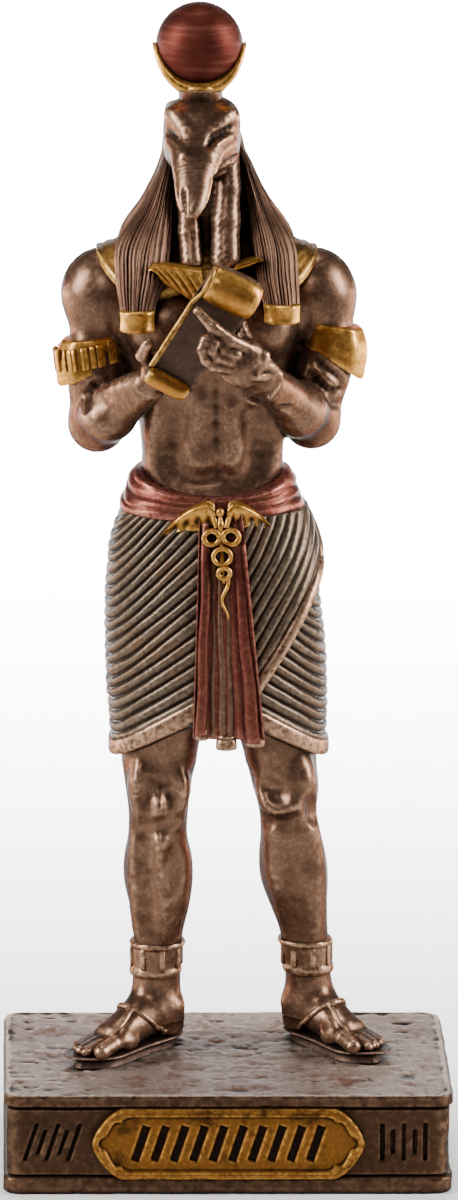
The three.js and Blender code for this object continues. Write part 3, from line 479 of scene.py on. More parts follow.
def chain(points: Sequence[Point], radii: Sequence[float], softness: float = 0.15) -> Form:
    """Builds round cones end to end.

    Args:
        points: The joints.
        radii: The radius at each joint.
        softness: The width of the seams.

    Returns:
        The form.
    """
    bones = [limb(points[i], points[i + 1], radii[i], radii[i + 1]) for i in range(len(points) - 1)]
    return blend(softness, *bones)


def above(form: Form, height: float) -> Form:
    """Returns the part of a form above a height."""
    return lambda points: np.maximum(form(points), height - points[:, 2])


def below(form: Form, height: float) -> Form:
    """Returns the part of a form below a height."""
    return lambda points: np.maximum(form(points), points[:, 2] - height)


def textured(form: Form, pattern: Form) -> Form:
    """Returns a form whose skin stands out by a pattern's value in millimetres."""
    return lambda points: form(points) - pattern(points)


class Rows:
    """Rows of numbers by height, read at any height along a smooth curve."""

    def __init__(self, rows: Table) -> None:
        """Sorts the rows.

        Args:
            rows: Each row is a height and the values there.
        """
        table = np.array(sorted(rows), float)
        self.heights, self.values = table[:, 0], table[:, 1:]

    def at(self, heights: float | Array) -> Array:
        """Reads the values.

        Args:
            heights: One height or an array of them.

        Returns:
            An array with the values along its first axis.
        """
        z = np.asarray(heights, float)
        last = len(self.heights) - 1
        row = np.clip(np.searchsorted(self.heights, z) - 1, 0, last - 1)
        span = self.heights[row + 1] - self.heights[row]
        t = np.clip((z - self.heights[row]) / span, 0, 1)[..., None]
        before, start = self.values[np.maximum(row - 1, 0)], self.values[row]
        end, after = self.values[row + 1], self.values[np.minimum(row + 2, last)]
        entry, leaving = (end - before) / 2, (after - start) / 2
        curve = (2 * t**3 - 3 * t**2 + 1) * start + (t**3 - 2 * t**2 + t) * entry
        curve = curve + (3 * t**2 - 2 * t**3) * end + (t**3 - t**2) * leaving
        return np.moveaxis(curve, -1, 0)


def stack(rows: Rows) -> Form:
    """Builds an upright form from rows of centre x, centre y, half width and half depth.

    Args:
        rows: The sections by height.

    Returns:
        The form, cut flat at its two ends.
    """
    low, high = rows.heights[0], rows.heights[-1]

    def value(points: Array) -> Array:
        """Returns the distance to the section at each height."""
        x, y, width, depth = rows.at(points[:, 2])
        gap = np.hypot((points[:, 0] - x) / width, (points[:, 1] - y) / depth) - 1
        return np.maximum.reduce([gap * np.minimum(width, depth), points[:, 2] - high, low - points[:, 2]])

    return value


def smooth_path(points: Sequence[Point], count: int) -> Array:
    """Draws a smooth curve through points.

    Args:
        points: The points, with any further columns such as radii.
        count: How many points the curve has.

    Returns:
        The curve's points as rows.
    """
    table = np.asarray(points, float)
    rows = Rows([[i, *row] for i, row in enumerate(table)])
    return rows.at(np.linspace(0, len(table) - 1, count)).T


def full_turn(count: int, start: float = 0.0) -> Array:
    """Returns a turn from the start angle in equal steps, in radians."""
    return np.linspace(start, start + 2 * math.pi, count, endpoint=False)


def oval(angles: Array, x: float, y: float, width: Array | float, depth: Array | float, z: float) -> Array:
    """Lays a level ring.

    Args:
        angles: The angles round it from the front.
        x: The middle's x.
        y: The middle's y.
        width: Half its width.
        depth: Half its depth.
        z: Its height.

    Returns:
        The ring's points.
    """
    return np.column_stack([x + width * np.sin(angles), y - depth * np.cos(angles), np.full(len(angles), z)])


# Places taken from the photograph


@dataclass(frozen=True)
class Stroke:
    """A soft line on a form, a ridge where its height is positive and a crease where it is negative.

    Its places are in the picture, in millimetres to the right of its middle and above it.
    """

    places: Sequence[Point]
    radius: float
    height: float


class Sight:
    """The photograph's lines of sight, in the figure's own heights."""

    # Where a line begins along y, its steps to a form, a step's share of the distance, and the slope's probe
    START = -13.0
    STEPS = 50
    STRIDE = 0.75
    PROBE = 0.15
    # How much of its height a stroke keeps at its ends, as an angle on a half turn
    FADE = 0.12

    def __init__(self, studio: Studio, lift: float) -> None:
        """Stands the eye where the camera is.

        Args:
            studio: The studio with the camera.
            lift: The height of the plinth's top.
        """
        back, self.right, self.up = studio.axes()
        self.middle = np.array(studio.target, float) - (0, 0, lift)
        self.eye = self.middle + back * studio.distance

    def at(self, places: Sequence[Point]) -> Array:
        """Gives the points that are seen at places of the picture.

        Args:
            places: Rows of a place in the picture and the point's y.

        Returns:
            The points as rows.
        """
        table = np.asarray(places, float)
        ahead = self.rays(table)
        return self.eye + ahead * ((table[:, 2:3] - self.eye[1]) / ahead[:, 1:2])

    def rays(self, places: Array) -> Array:
        """Returns the directions from the eye through places of the picture."""
        ahead = self.middle + places[:, :1] * self.right + places[:, 1:2] * self.up - self.eye
        return ahead / np.linalg.norm(ahead, axis=1)[:, None]

    def onto(self, form: Form, places: Array) -> tuple[Array, Array]:
        """Follows lines of sight to a form.

        Args:
            form: The form.
            places: Places of the picture as rows.

        Returns:
            The points where the lines meet the form, and its outward directions there.
        """
        ahead = self.rays(places)
        points = self.eye + ahead * ((self.START - self.eye[1]) / ahead[:, 1:2])
        for _ in range(self.STEPS):
            points = points + ahead * (form(points) * self.STRIDE)[:, None]
        probes = np.eye(3) * self.PROBE
        slope = np.stack([form(points + probe) - form(points - probe) for probe in probes], 1)
        return points, slope / np.maximum(np.linalg.norm(slope, axis=1), 1e-6)[:, None]

    def drawn(self, softness: float, form: Form, strokes: Sequence[Stroke]) -> Form:
        """Draws ridges and creases on a form.

        Args:
            softness: The width of their seams.
            form: The form.
            strokes: The lines.

        Returns:
            The form with the lines on it.
        """
        ridges, creases = [], []
        for stroke in strokes:
            places = smooth_path(stroke.places, 2 * len(stroke.places) + 1)
            points, out = self.onto(form, places)
            fade = np.sin(np.linspace(self.FADE, math.pi - self.FADE, len(places)))[:, None] ** 0.5
            lean = -stroke.radius if stroke.height > 0 else stroke.radius
            line = chain(points + out * (stroke.height * fade + lean), [stroke.radius] * len(places))
            (ridges if stroke.height > 0 else creases).append(line)
        raised = blend(softness, form, *ridges) if ridges else form
        return notch(softness, raised, *creases) if creases else raised


# Skins: closed meshes


@dataclass
class Skin:
    """A closed mesh in millimetres, with its faces of four and of three corners."""

    points: Array
    quads: Array = field(default_factory=lambda: np.zeros((0, 4), int))
    tris: Array = field(default_factory=lambda: np.zeros((0, 3), int))

    @staticmethod
    def joined(skins: Sequence[Skin]) -> Skin:
        """Returns several skins as one mesh."""
        starts = np.cumsum([0] + [len(s.points) for s in skins])
        return Skin(
            np.concatenate([s.points for s in skins]),
            np.concatenate([s.quads + n for s, n in zip(skins, starts)]),
            np.concatenate([s.tris + n for s, n in zip(skins, starts)]),
        )

    def outward(self) -> Skin:
        """Returns the skin with its faces turned to point out."""
        corners = np.concatenate([self.quads[:, [0, 1, 2]], self.quads[:, [0, 2, 3]], self.tris])
        middle = self.points.mean(0)
        a, b, c = (self.points[corners[:, i]] - middle for i in range(3))
        if (a * np.cross(b, c)).sum() < 0:
            return Skin(self.points, self.quads[:, ::-1], self.tris[:, ::-1])
        return self


class Ends(Enum):
    """How the first and the last ring of a loft are closed."""

    FAN = "to a point"
    LADDER = "across"
    HOOP = "to each other"


def loft(
    rows: Sequence[Array], ends: Ends = Ends.FAN, tips: Sequence[Point | None] = (None, None)
) -> Skin:
    """Joins rings of equal length to a closed skin.

    Args:
        rows: The points of each ring.
        ends: How the ends are closed.
        tips: The points of the two fans, or None for the ring's own middle.

    Returns:
        The skin, facing out.
    """
    rings = np.array(rows)
    count, sides = rings.shape[:2]
    points = rings.reshape(-1, 3)
    steps = count if ends is Ends.HOOP else count - 1
    ring, side = np.meshgrid(np.arange(steps), np.arange(sides), indexing="ij")
    ring, side = ring.ravel(), side.ravel()
    after, beside = (ring + 1) % count, (side + 1) % sides
    corners = ((ring, side), (ring, beside), (after, beside), (after, side))
    quads = np.stack([row * sides + place for row, place in corners], 1)
    tris = np.zeros((0, 3), int)
    if ends is Ends.FAN:
        mouths = [np.arange(sides), (count - 1) * sides + np.arange(sides)]
        for mouth, tip, flip in zip(mouths, tips, (True, False)):
            points = np.vstack([points, points[mouth].mean(0) if tip is None else tip])
            fan = np.stack([mouth, np.roll(mouth, -1), np.full(sides, len(points) - 1)], 1)
            tris = np.vstack([tris, fan[:, ::-1] if flip else fan])
    if ends is Ends.LADDER:
        low = np.arange(sides // 2 - 1)
        rungs = np.stack([low, low + 1, sides - 2 - low, sides - 1 - low], 1)
        quads = np.vstack([quads, rungs[:, ::-1], rungs + (count - 1) * sides])
    return Skin(points, quads, tris).outward()


def slab_ring(front: Array, back_y: float) -> Array:
    """Returns a front row and, the other way round, the same row set flat at a depth behind it."""
    back = front[::-1].copy()
    back[:, 1] = back_y
    return np.concatenate([front, back])


# Cells in a block's edge, half a cell's diagonal with room to spare, and the least slope that moves a point
BLOCK = 4
HALF_DIAGONAL = 0.87 * 1.2
LEAST_SLOPE = 0.2


def surface(form: Form, low: Point, high: Point, cell: float) -> Skin:
    """Finds the skin of a form on a grid, and settles its points on the form.

    Only the blocks of cells near the skin are looked at closely.

    Args:
        form: The form, which lies inside the box.
        low: The box's lowest corner.
        high: The box's highest corner.
        cell: The size of a cell.

    Returns:
        The skin.
    """
    origin = np.array(low, float)
    blocks = np.ceil((np.array(high, float) - origin) / (cell * BLOCK)).astype(int) + 1
    middles = np.stack(np.meshgrid(*[np.arange(n) for n in blocks], indexing="ij"), -1).reshape(-1, 3)
    coarse = form(origin + (middles * BLOCK + BLOCK / 2) * cell)
    reach = BLOCK * cell * HALF_DIAGONAL + cell
    values = coarse.reshape(blocks).astype(np.float32)
    for axis in range(3):
        values = np.repeat(values, BLOCK, axis)
    offsets = np.stack(np.meshgrid(*[np.arange(BLOCK)] * 3, indexing="ij"), -1).reshape(-1, 3)
    fine = (middles[np.abs(coarse) < reach, None] * BLOCK + offsets).reshape(-1, 3)
    values[tuple(fine.T)] = form(origin + fine * cell)
    places, faces, owners = [], [], []
    for axis in range(3):
        ahead = np.take(values, np.arange(1, values.shape[axis]), axis)
        behind = np.take(values, np.arange(values.shape[axis] - 1), axis)
        start = np.argwhere((behind < 0) != (ahead < 0))
        here, there = behind[tuple(start.T)], ahead[tuple(start.T)]
        cross = start.astype(float)
        cross[:, axis] += here / (here - there)
        around = np.repeat(start[:, None], 4, 1)
        around[:, :, (axis + 1) % 3] += [-1, 0, 0, -1]
        around[:, :, (axis + 2) % 3] += [-1, -1, 0, 0]
        cells = np.ravel_multi_index(tuple(np.moveaxis(around, -1, 0)), values.shape)
        cells[here >= 0] = cells[here >= 0][:, ::-1]
        faces.append(cells)
        owners.append(np.repeat(cross[:, None], 4, 1).reshape(-1, 3))
        places.append(cells.ravel())
    corner = np.unique(np.concatenate(places), return_inverse=True)[1]
    owners = np.concatenate(owners)
    share = np.bincount(corner)
    points = np.stack([np.bincount(corner, owners[:, i]) / share for i in range(3)], 1)
    points = settle(form, origin + points * cell, cell)
    return Skin(points, corner.reshape(-1, 4))


def settle(form: Form, points: Array, cell: float, steps: int = 2) -> Array:
    """Moves points onto a form's skin along its slope.

    Args:
        form: The form.
        points: Points near its skin.
        cell: The furthest that a point may move in a step.
        steps: How many steps are made.

    Returns:
        The moved points.
    """
    probe = cell * 0.2
    for _ in range(steps):
        here = form(points)
        slope = np.stack([form(points + axis * probe) - here for axis in np.eye(3)], 1) / probe
        steep = np.maximum((slope**2).sum(1), LEAST_SLOPE)
        points = points - np.clip((here / steep)[:, None] * slope, -cell, cell)
    return points


# The random lattice's points along an edge, and where on it a plane's zero lies
LATTICE = 128
LATTICE_ZERO = 64.37


def mottle(places: Array, size: float, seed: int) -> Array:
    """Gives smooth random values over a plane.

    Args:
        places: Rows of two coordinates.
        size: The size of a patch.
        seed: The fixed seed.

    Returns:
        A value from -1 to 1 for each place.
    """
    lattice = np.random.default_rng(seed).uniform(-1, 1, (LATTICE, LATTICE))
    scaled = places / size + LATTICE_ZERO
    cell = np.floor(scaled).astype(int)
    t = scaled - cell
    t = t * t * (3 - 2 * t)
    i, j = cell[:, 0] % LATTICE, cell[:, 1] % LATTICE
    right, up = (i + 1) % LATTICE, (j + 1) % LATTICE
    near_row = mix(lattice[i, j], lattice[right, j], t[:, 0])
    far_row = mix(lattice[i, up], lattice[right, up], t[:, 0])
    return mix(near_row, far_row, t[:, 1])


def level_mottle(across: Array, up: float, size: float, seed: int) -> Array:
    """Returns the smooth random values along a level line at a height."""
    return mottle(np.column_stack([across, np.full(len(across), up)]), size, seed)


# From skins to pieces


# Each measure of relief with the radius in millimetres that it is taken over
MEASURES = (("relief", 0.3), ("swell", 0.9))
# How far a point moves to the average in a step, and the steps: for a radius of one edge, least and most
AVERAGING = 0.6
STEPS_PER_EDGE = 1.7
LEAST_STEPS = 2
MOST_STEPS = 60


def smoothed(points: Array, ends: Array, steps: int) -> Array:
    """Averages each point with its neighbours.

    Args:
        points: The mesh's points.
        ends: Each edge's two points, both ways round.
        steps: How often the points are averaged.

    Returns:
        The averaged points.
    """
    count = np.maximum(np.bincount(ends[:, 0], minlength=len(points)), 1)
    for _ in range(steps):
        around = [np.bincount(ends[:, 0], points[ends[:, 1], i], len(points)) / count for i in range(3)]
        points = mix(points, np.stack(around, 1), AVERAGING)
    return points


def read_rows(items: bpy.types.bpy_prop_collection, name: str, width: int, kind: type) -> Array:
    """Reads a property of every item of a mesh.

    Args:
        items: The mesh's vertices, edges or normals.
        name: The property's name.
        width: How many numbers an item has.
        kind: The numbers' type.

    Returns:
        A row of numbers for each item.
    """
    rows = np.zeros(len(items) * width, kind)
    items.foreach_get(name, rows)
    return rows.reshape(-1, width)


def mark_relief(mesh: bpy.types.Mesh) -> None:
    """Stores how far each point stands out of its surroundings, in millimetres.

    The attribute relief has the fine edges and creases, and swell the rounder forms.

    Args:
        mesh: The finished mesh, in metres.
    """
    points = read_rows(mesh.vertices, "co", 3, float) / MM
    pairs = read_rows(mesh.edges, "vertices", 2, int)
    normals = read_rows(mesh.vertex_normals, "vector", 3, float)
    ends = np.concatenate([pairs, pairs[:, ::-1]])
    edge = float(np.median(np.linalg.norm(points[pairs[:, 0]] - points[pairs[:, 1]], axis=1)))
    spread = points
    done = 0
    for name, radius in MEASURES:
        steps = int(min(max((radius / edge) ** 2 * STEPS_PER_EDGE, LEAST_STEPS), MOST_STEPS))
        spread = smoothed(spread, ends, max(steps - done, 1))
        done = steps
        stored = mesh.attributes.new(name, "FLOAT", "POINT")
        stored.data.foreach_set("value", ((points - spread) * normals).sum(1).astype(np.float32))


def stand(name: str, data: bpy.types.ID) -> bpy.types.Object:
    """Returns a new object in the scene with its data."""
    made = bpy.data.objects.new(name, data)
    bpy.context.scene.collection.objects.link(made)
    return made


class Trees:
    """The Geometry Nodes trees that make what follows a path or repeats."""

    def __init__(self) -> None:
        """Builds the two trees."""
        self.cord = self._cord()
        self.rib = self._rib()

    @staticmethod
    def _start(name: str, sockets: dict[str, str]) -> tuple[bpy.types.NodeTree, bpy.types.Node]:
        """Makes an empty tree.

        Args:
            name: The tree's name.
            sockets: The kind of each input beside the geometry, by name.

        Returns:
            The tree and its input node.
        """
        tree = bpy.data.node_groups.new(name, "GeometryNodeTree")
        tree.is_modifier = True
        tree.interface.new_socket(name="Geometry", in_out="INPUT", socket_type="NodeSocketGeometry")
        tree.interface.new_socket(name="Geometry", in_out="OUTPUT", socket_type="NodeSocketGeometry")
        for title, kind in sockets.items():
            tree.interface.new_socket(name=title, in_out="INPUT", socket_type=kind)
        return tree, add_node(tree, "NodeGroupInput")

    @staticmethod
    def _end(tree: bpy.types.NodeTree, given: bpy.types.Node, grown: bpy.types.Node) -> None:
        """Ends a tree in plain, smooth, painted mesh."""
        real = add_node(tree, "GeometryNodeRealizeInstances", {0: grown})
        smooth = add_node(tree, "GeometryNodeSetShadeSmooth", {0: real})
        painted = add_node(tree, "GeometryNodeSetMaterial", {0: smooth, "Material": given.outputs["Paint"]})
        add_node(tree, "NodeGroupOutput", {0: painted})

    def _cord(self) -> bpy.types.NodeTree:
        """Builds the tree that sweeps a round cord along lines."""
        sockets = {"Sides": "NodeSocketInt", "Step": "NodeSocketFloat", "Paint": "NodeSocketMaterial"}
        tree, given = self._start("cord_on_a_path", sockets)
        add = partial(add_node, tree)
        curve = add("GeometryNodeMeshToCurve", {0: given.outputs["Geometry"]})
        even = add("GeometryNodeResampleCurve", {0: curve, "Length": given.outputs["Step"]}, mode="LENGTH")
        thickness = add("GeometryNodeInputNamedAttribute", {"Name": "thickness"}, data_type="FLOAT")
        circle = add(
            "GeometryNodeCurvePrimitiveCircle", {"Resolution": given.outputs["Sides"], "Radius": 1.0}
        )
        swept = add("GeometryNodeCurveToMesh", {0: even, 1: circle, "Scale": thickness, "Fill Caps": True})
        self._end(tree, given, swept)
        return tree

    def _rib(self) -> bpy.types.NodeTree:
        """Builds the tree that sets a rounded bar on each point."""
        sockets = {"Rounding": "NodeSocketInt", "Paint": "NodeSocketMaterial"}
        tree, given = self._start("ribs_on_points", sockets)
        add = partial(add_node, tree)
        bar = add("GeometryNodeMeshCube", {"Size": (1.0, 1.0, 1.0)})
        rounded = add(
            "GeometryNodeSubdivisionSurface",
            {0: bar, "Level": given.outputs["Rounding"], "Edge Crease": 0.45},
        )
        along, outward, extent = (
            add("GeometryNodeInputNamedAttribute", {"Name": name}, data_type="FLOAT_VECTOR")
            for name in ("along", "outward", "extent")
        )
        turn = add(
            "FunctionNodeAxesToRotation", {0: along, 1: outward}, primary_axis="Z", secondary_axis="Y"
        )
        placed = add(
            "GeometryNodeInstanceOnPoints",
            {"Points": given.outputs["Geometry"], "Instance": rounded, "Rotation": turn, "Scale": extent},
        )
        self._end(tree, given, placed)
        return tree


class Bench:
    """Turns skins, lines and spots into finished pieces that ride on the frame."""

    def __init__(self, sight: Sight, lift: float) -> None:
        """Builds the trees, and starts the count of triangles.

        Args:
            sight: The photograph's lines of sight.
            lift: The height of the plinth's top, from which the figure's heights are measured.
        """
        self.sight = sight
        self.zero = {"figure": (0, 0, lift), "plinth": (0, 0, 0)}
        self.trees = Trees()
        self.triangles = 0

    def piece(
        self, name: str, skin: Skin, finish: Finish, node: str = "figure", crease: float | None = None
    ) -> None:
        """Makes a piece from a skin.

        Args:
            name: The piece's name.
            skin: Its mesh, in its node's own heights.
            finish: Its paint.
            node: The CAD node that it stands for.
            crease: The angle in degrees above which an edge is sharp, or None for a smooth piece.
        """
        mesh = bpy.data.meshes.new(name)
        points = (skin.points + self.zero[node]) * MM
        corners = np.concatenate([skin.quads.ravel(), skin.tris.ravel()]).astype(np.int32)
        sides = np.repeat([4, 3], [len(skin.quads), len(skin.tris)])
        starts = (np.cumsum(sides) - sides).astype(np.int32)
        mesh.vertices.add(len(points))
        mesh.vertices.foreach_set("co", points.ravel().astype(np.float32))
        mesh.loops.add(len(corners))
        mesh.loops.foreach_set("vertex_index", corners)
        mesh.polygons.add(len(starts))
        mesh.polygons.foreach_set("loop_start", starts)
        mesh.update(calc_edges=True)
        mesh.shade_smooth()
        if crease is not None:
            mesh.set_sharp_from_angle(angle=math.radians(crease))
        self.dress(stand(name, mesh), finish, node)

    def cords(self, name: str, paths: Sequence[Array], sides: int, step: float, finish: Finish) -> None:
        """Grows round cords along lines.

        Args:
            name: The piece's name.
            paths: For each cord its rows of x, y, z and radius.
            sides: How many sides a cord has.
            step: The length between two of its rings.
            finish: Its paint.
        """
        table = np.concatenate(paths)
        starts = np.cumsum([0] + [len(path) for path in paths])
        edges = [(i, i + 1) for a, b in zip(starts, starts[1:]) for i in range(a, b - 1)]
        mesh = self.seedling(name, table[:, :3], edges, {"thickness": table[:, 3] * MM}, "figure")
        self.grown(name, mesh, self.trees.cord, {"Sides": sides, "Step": step * MM}, finish, "figure")

    def ribs(
        self, name: str, spots: Sequence[Sequence[Point]], finish: Finish, node: str = "figure"
    ) -> None:
        """Grows rounded bars on points.

        Args:
            name: The piece's name.
            spots: For each bar its place, its long axis, its outward axis and its three sizes: across,
                outward and along.
            finish: Its paint.
            node: The CAD node that it stands for.
        """
        table = np.asarray(spots, float)
        columns = {"along": table[:, 1], "outward": table[:, 2], "extent": table[:, 3] * MM}
        mesh = self.seedling(name, table[:, 0], [], columns, node)
        self.grown(name, mesh, self.trees.rib, {"Rounding": 2}, finish, node)

    def seedling(
        self, name: str, points: Array, edges: Sequence[tuple[int, int]], columns: dict[str, Array], node: str
    ) -> bpy.types.Mesh:
        """Makes the mesh that a tree starts from.

        Args:
            name: The piece's name.
            points: Its points.
            edges: Its lines.
            columns: The numbers or directions that the tree reads at each point, by name.
            node: The CAD node that the piece stands for.

        Returns:
            The mesh.
        """
        mesh = bpy.data.meshes.new(name + "_seedling")
        mesh.from_pydata(((points + self.zero[node]) * MM).tolist(), edges, [])
        for title, values in columns.items():
            kind, key = ("FLOAT", "value") if values.ndim == 1 else ("FLOAT_VECTOR", "vector")
            stored = mesh.attributes.new(title, kind, "POINT")
            stored.data.foreach_set(key, values.ravel().astype(np.float32))
        return mesh

    def grown(
        self, name: str, seedling: bpy.types.Mesh, tree: bpy.types.NodeTree, sizes: dict[str, object],
        finish: Finish, node: str,
    ) -> None:
        """Grows a piece, a plain mesh, with a Geometry Nodes tree.

        Args:
            name: The piece's name.
            seedling: The points or lines, with the attributes that the tree reads.
            tree: The tree.
            sizes: Values for the tree's inputs by name.
            finish: The piece's paint.
            node: The CAD node that it stands for.
        """
        source = stand(name + "_source", seedling)
        modifier = source.modifiers.new("grow", "NODES")
        modifier.node_group = tree
        values = {**sizes, "Paint": finish.material()}
        for item in tree.interface.items_tree:
            if item.name in values:
                modifier[item.identifier] = values[item.name]
        evaluated = source.evaluated_get(bpy.context.evaluated_depsgraph_get())
        mesh = bpy.data.meshes.new_from_object(evaluated)
        bpy.data.objects.remove(source)
        mesh.name = name
        self.dress(stand(name, mesh), finish, node)

    def dress(self, made: bpy.types.Object, finish: Finish, node: str) -> None:
        """Gives a plain mesh object its finish and its place on the frame.

        Args:
            made: The object.
            finish: Its paint.
            node: The CAD node that it stands for.
        """
        mark_relief(made.data)
        made.data.materials.clear()
        made.data.materials.append(finish.material())
        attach(made, "root")
        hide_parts(node)
        made.data.calc_loop_triangles()
        count = len(made.data.loop_triangles)
        self.triangles += count
        log.info("%s: %d triangles", made.name, count)


# The plinth


@dataclass
class Plinth:
    """A cast block with two bands, a recessed panel, a name plate without a name and rough ground."""

    width: float = 34.0
    depth: float = 22.0
    height: float = 7.75
    corner: float = 1.3
    top_band: float = 0.9
    foot_band: float = 1.25
    groove: float = 0.28
    groove_depth: float = 0.4
    recess: float = 0.25
    arris: float = 0.14
    roughness: float = 0.17
    plate_length: float = 20.6
    plate_tall: float = 5.5
    plate_proud: float = 0.75
    plate_border: float = 0.62
    plate_end: float = 2.3
    plate_sunk: float = 0.3
    plate_round: float = 0.18
    # The power of the plate's rounded ends, its small scallops there, and the run of its inner step
    plate_power: float = 1.45
    scallop: float = 0.13
    scallop_pitch: float = 1.15
    scallop_from: float = 8.0
    step_run: float = 0.16
    strokes: int = 10
    stroke_width: float = 0.62
    stroke_depth: float = 0.24
    stroke_margin: float = 0.7
    stroke_lean: float = 18.0
    stroke_run: float = 0.12
    marks: int = 5
    mark_width: float = 0.34
    mark_tall: float = 2.9
    mark_short: float = 2.03
    mark_pitch: float = 0.82
    mark_gap: float = 1.35
    mark_depth: float = 0.2
    # Steps along the front, a side and the back, and round a corner
    front_steps: int = 280
    side_steps: int = 56
    back_steps: int = 80
    corner_steps: int = 8
    # Rows of the panel and of the ground, and the size of a cell of the plate's skin
    panel_rows: int = 32
    ground_rows: int = 52
    plate_cell: float = 0.098

    def build(self, bench: Bench) -> None:
        """Builds the block and the plate.

        Args:
            bench: Where the pieces are made.
        """
        bench.piece("plinth_block", self.block(), PLINTH_BROWN, "plinth", 50)
        bench.piece("plinth_ground", self.rough_top(), GROUND, "plinth")
        # The name plate gets the gold darkened to ochre, as painted shade
        bench.piece("name_plate", self.plate(), GOLD_OCHRE_PAINTED_SHADE, "plinth", 50)
        size = (self.stroke_width * 0.86, 0.12, self.stroke_length * 1.02)
        lean, y = self.leaning(self.stroke_lean), self.face - self.floor + 0.02
        fills = [((x, y, self.middle), lean, (0, -1, 0), size) for x in self.stroke_places()]
        bench.ribs("plate_stroke_fill", fills, WASH_FILL, "plinth")

    @property
    def middle(self) -> float:
        """Height of the middle of the panel."""
        return (self.foot_band + self.height - self.top_band) / 2

    @property
    def face(self) -> float:
        """Place of the panel's face on the front, along y."""
        return -self.depth / 2 + self.recess

    @property
    def floor(self) -> float:
        """How far the bottom of a cut stroke stands before the panel's face."""
        return self.plate_proud - self.plate_sunk - self.stroke_depth

    @property
    def stroke_length(self) -> float:
        """Length of a cut stroke on the plate."""
        return self.plate_tall - 2 * (self.plate_border + self.stroke_margin)

    def stroke_places(self) -> Array:
        """Returns the strokes' places along the plate."""
        run = self.plate_length - self.plate_tall - 2 * self.plate_border - self.stroke_width
        return np.linspace(-run / 2, run / 2, self.strokes)

    @staticmethod
    def leaning(degrees: float) -> tuple[float, float, float]:
        """Returns the direction of a stroke that leans to the right at its top."""
        return math.sin(math.radians(degrees)), 0.0, math.cos(math.radians(degrees))

    def outline(self) -> tuple[Array, Array]:
        """Walks round the block, in small steps along the front.

        Returns:
            Points of the outline in x and y, and the outward direction at each.
        """
        x, y, r = self.width / 2, self.depth / 2, self.corner
        corners = np.array([(-1, -1), (1, -1), (1, 1), (-1, 1)]) * (x - r, y - r)
        counts = (self.front_steps, self.side_steps, self.back_steps, self.side_steps)
        places, faces = [], []
        for i, count in enumerate(counts):
            start, end, facing = corners[i], corners[(i + 1) % 4], 90 * (i - 1)
            out = np.array([math.cos(math.radians(facing)), math.sin(math.radians(facing))])
            for share in np.linspace(0, 1, count, endpoint=False):
                places.append(mix(start, end, share) + out * r)
                faces.append(out)
            for angle in np.radians(np.linspace(facing, facing + 90, self.corner_steps, endpoint=False)):
                turned = np.array([math.cos(angle), math.sin(angle)])
                places.append(end + turned * r)
                faces.append(turned)
        return np.array(places), np.array(faces)

    def block(self) -> Skin:
        """Builds the block with its bands, its side marks and its chips."""
        rim, out = self.outline()
        foot, top, cut = self.foot_band, self.height - self.top_band, self.groove_depth
        low, high = foot + self.groove, top - self.groove
        # An eased edge's inset and run, and the run of a groove's inner wall
        ease, run, wall = 0.1, 0.08, 0.06
        levels = [
            (0.0, self.arris), (self.arris, 0.0),
            *[(z, 0.0) for z in np.linspace(self.arris, foot - run, 6)[1:]],
            (foot + 0.02, ease), (foot + ease, cut), (low - wall, cut),
            *[(z, self.recess) for z in np.linspace(low, high, self.panel_rows)],
            (high + wall, cut), (high + self.groove - ease, cut), (top, ease),
            *[(z, 0.0) for z in np.linspace(top + run, self.height - self.arris, 5)],
            (self.height - 0.04, ease / 2),
        ]
        rings = []
        for z, inset in levels:
            ring = np.column_stack([rim - out * inset, np.full(len(rim), z)])
            wave = 0.05 * level_mottle(rim.sum(1), z, 2.2, 3)
            wave += 0.02 * level_mottle(rim[:, 0] - rim[:, 1], z, 0.7, 4)
            ring[:, :2] += out * (wave - self.chips(ring))[:, None]
            if low <= z <= high:
                ring[:, 1] += self.side_marks(ring)
            rings.append(ring)
        rings.append(np.column_stack([(rim - out * 0.05) * 0.97, np.full(len(rim), self.height - 0.12)]))
        return loft(rings, Ends.FAN, ((0, 0, 0.0), (0, 0, self.height - 0.5)))

    def rough_top(self) -> Skin:
        """Builds the slab of rough ground inside the block's upper edge."""
        rim, out = self.outline()
        edge, rounded, foot = 0.08, 1.3, self.height - 0.6
        insets = [edge, *np.linspace(edge, rounded, 10), *np.linspace(1.45, 10.7, self.ground_rows)]
        rings = []
        for inset in insets:
            flat = (rim - out * 0.05) * (1 - inset / (self.depth / 2))
            top = self.ground(flat, inset) if rings else np.full(len(rim), foot)
            rings.append(np.column_stack([flat, top]))
        centre = (0, 0, self.ground(np.zeros((1, 2)), self.depth / 2)[0])
        return loft(rings, Ends.FAN, ((0, 0, foot), centre))

    def ground(self, places: Array, inset: float) -> Array:
        """Gives the rough top its height.

        Args:
            places: Points in x and y.
            inset: How far they lie inside the edge.

        Returns:
            The height of each point.
        """
        fade = min(inset / 0.5, 1)
        rounding = 0.1 * max(1 - inset / 0.3, 0) ** 2
        rise = 0.25 * np.clip((places[:, 1] - 5.5) / 4, 0, 1)
        stretched = places * (0.5, 1.0)
        rough = 0.55 * mottle(stretched, 1.5, 11) + 0.45 * mottle(stretched, 0.72, 12)
        crumb = mottle(places, 0.42, 13)
        chiselled = np.sign(rough) * np.abs(rough) ** 1.3
        pits = 0.14 * np.clip(mottle(stretched, 0.8, 14) * 3 - 1.2, 0, 1)
        uneven = self.roughness * (chiselled * 1.3 + 0.35 * crumb) - pits - 0.04
        return self.height + 0.04 + rise - rounding + fade * uneven

    def chips(self, ring: Array) -> Array:
        """Gives the depth of the chips at the right front corner.

        Args:
            ring: Points of the block's sides.

        Returns:
            The depth at each point.
        """
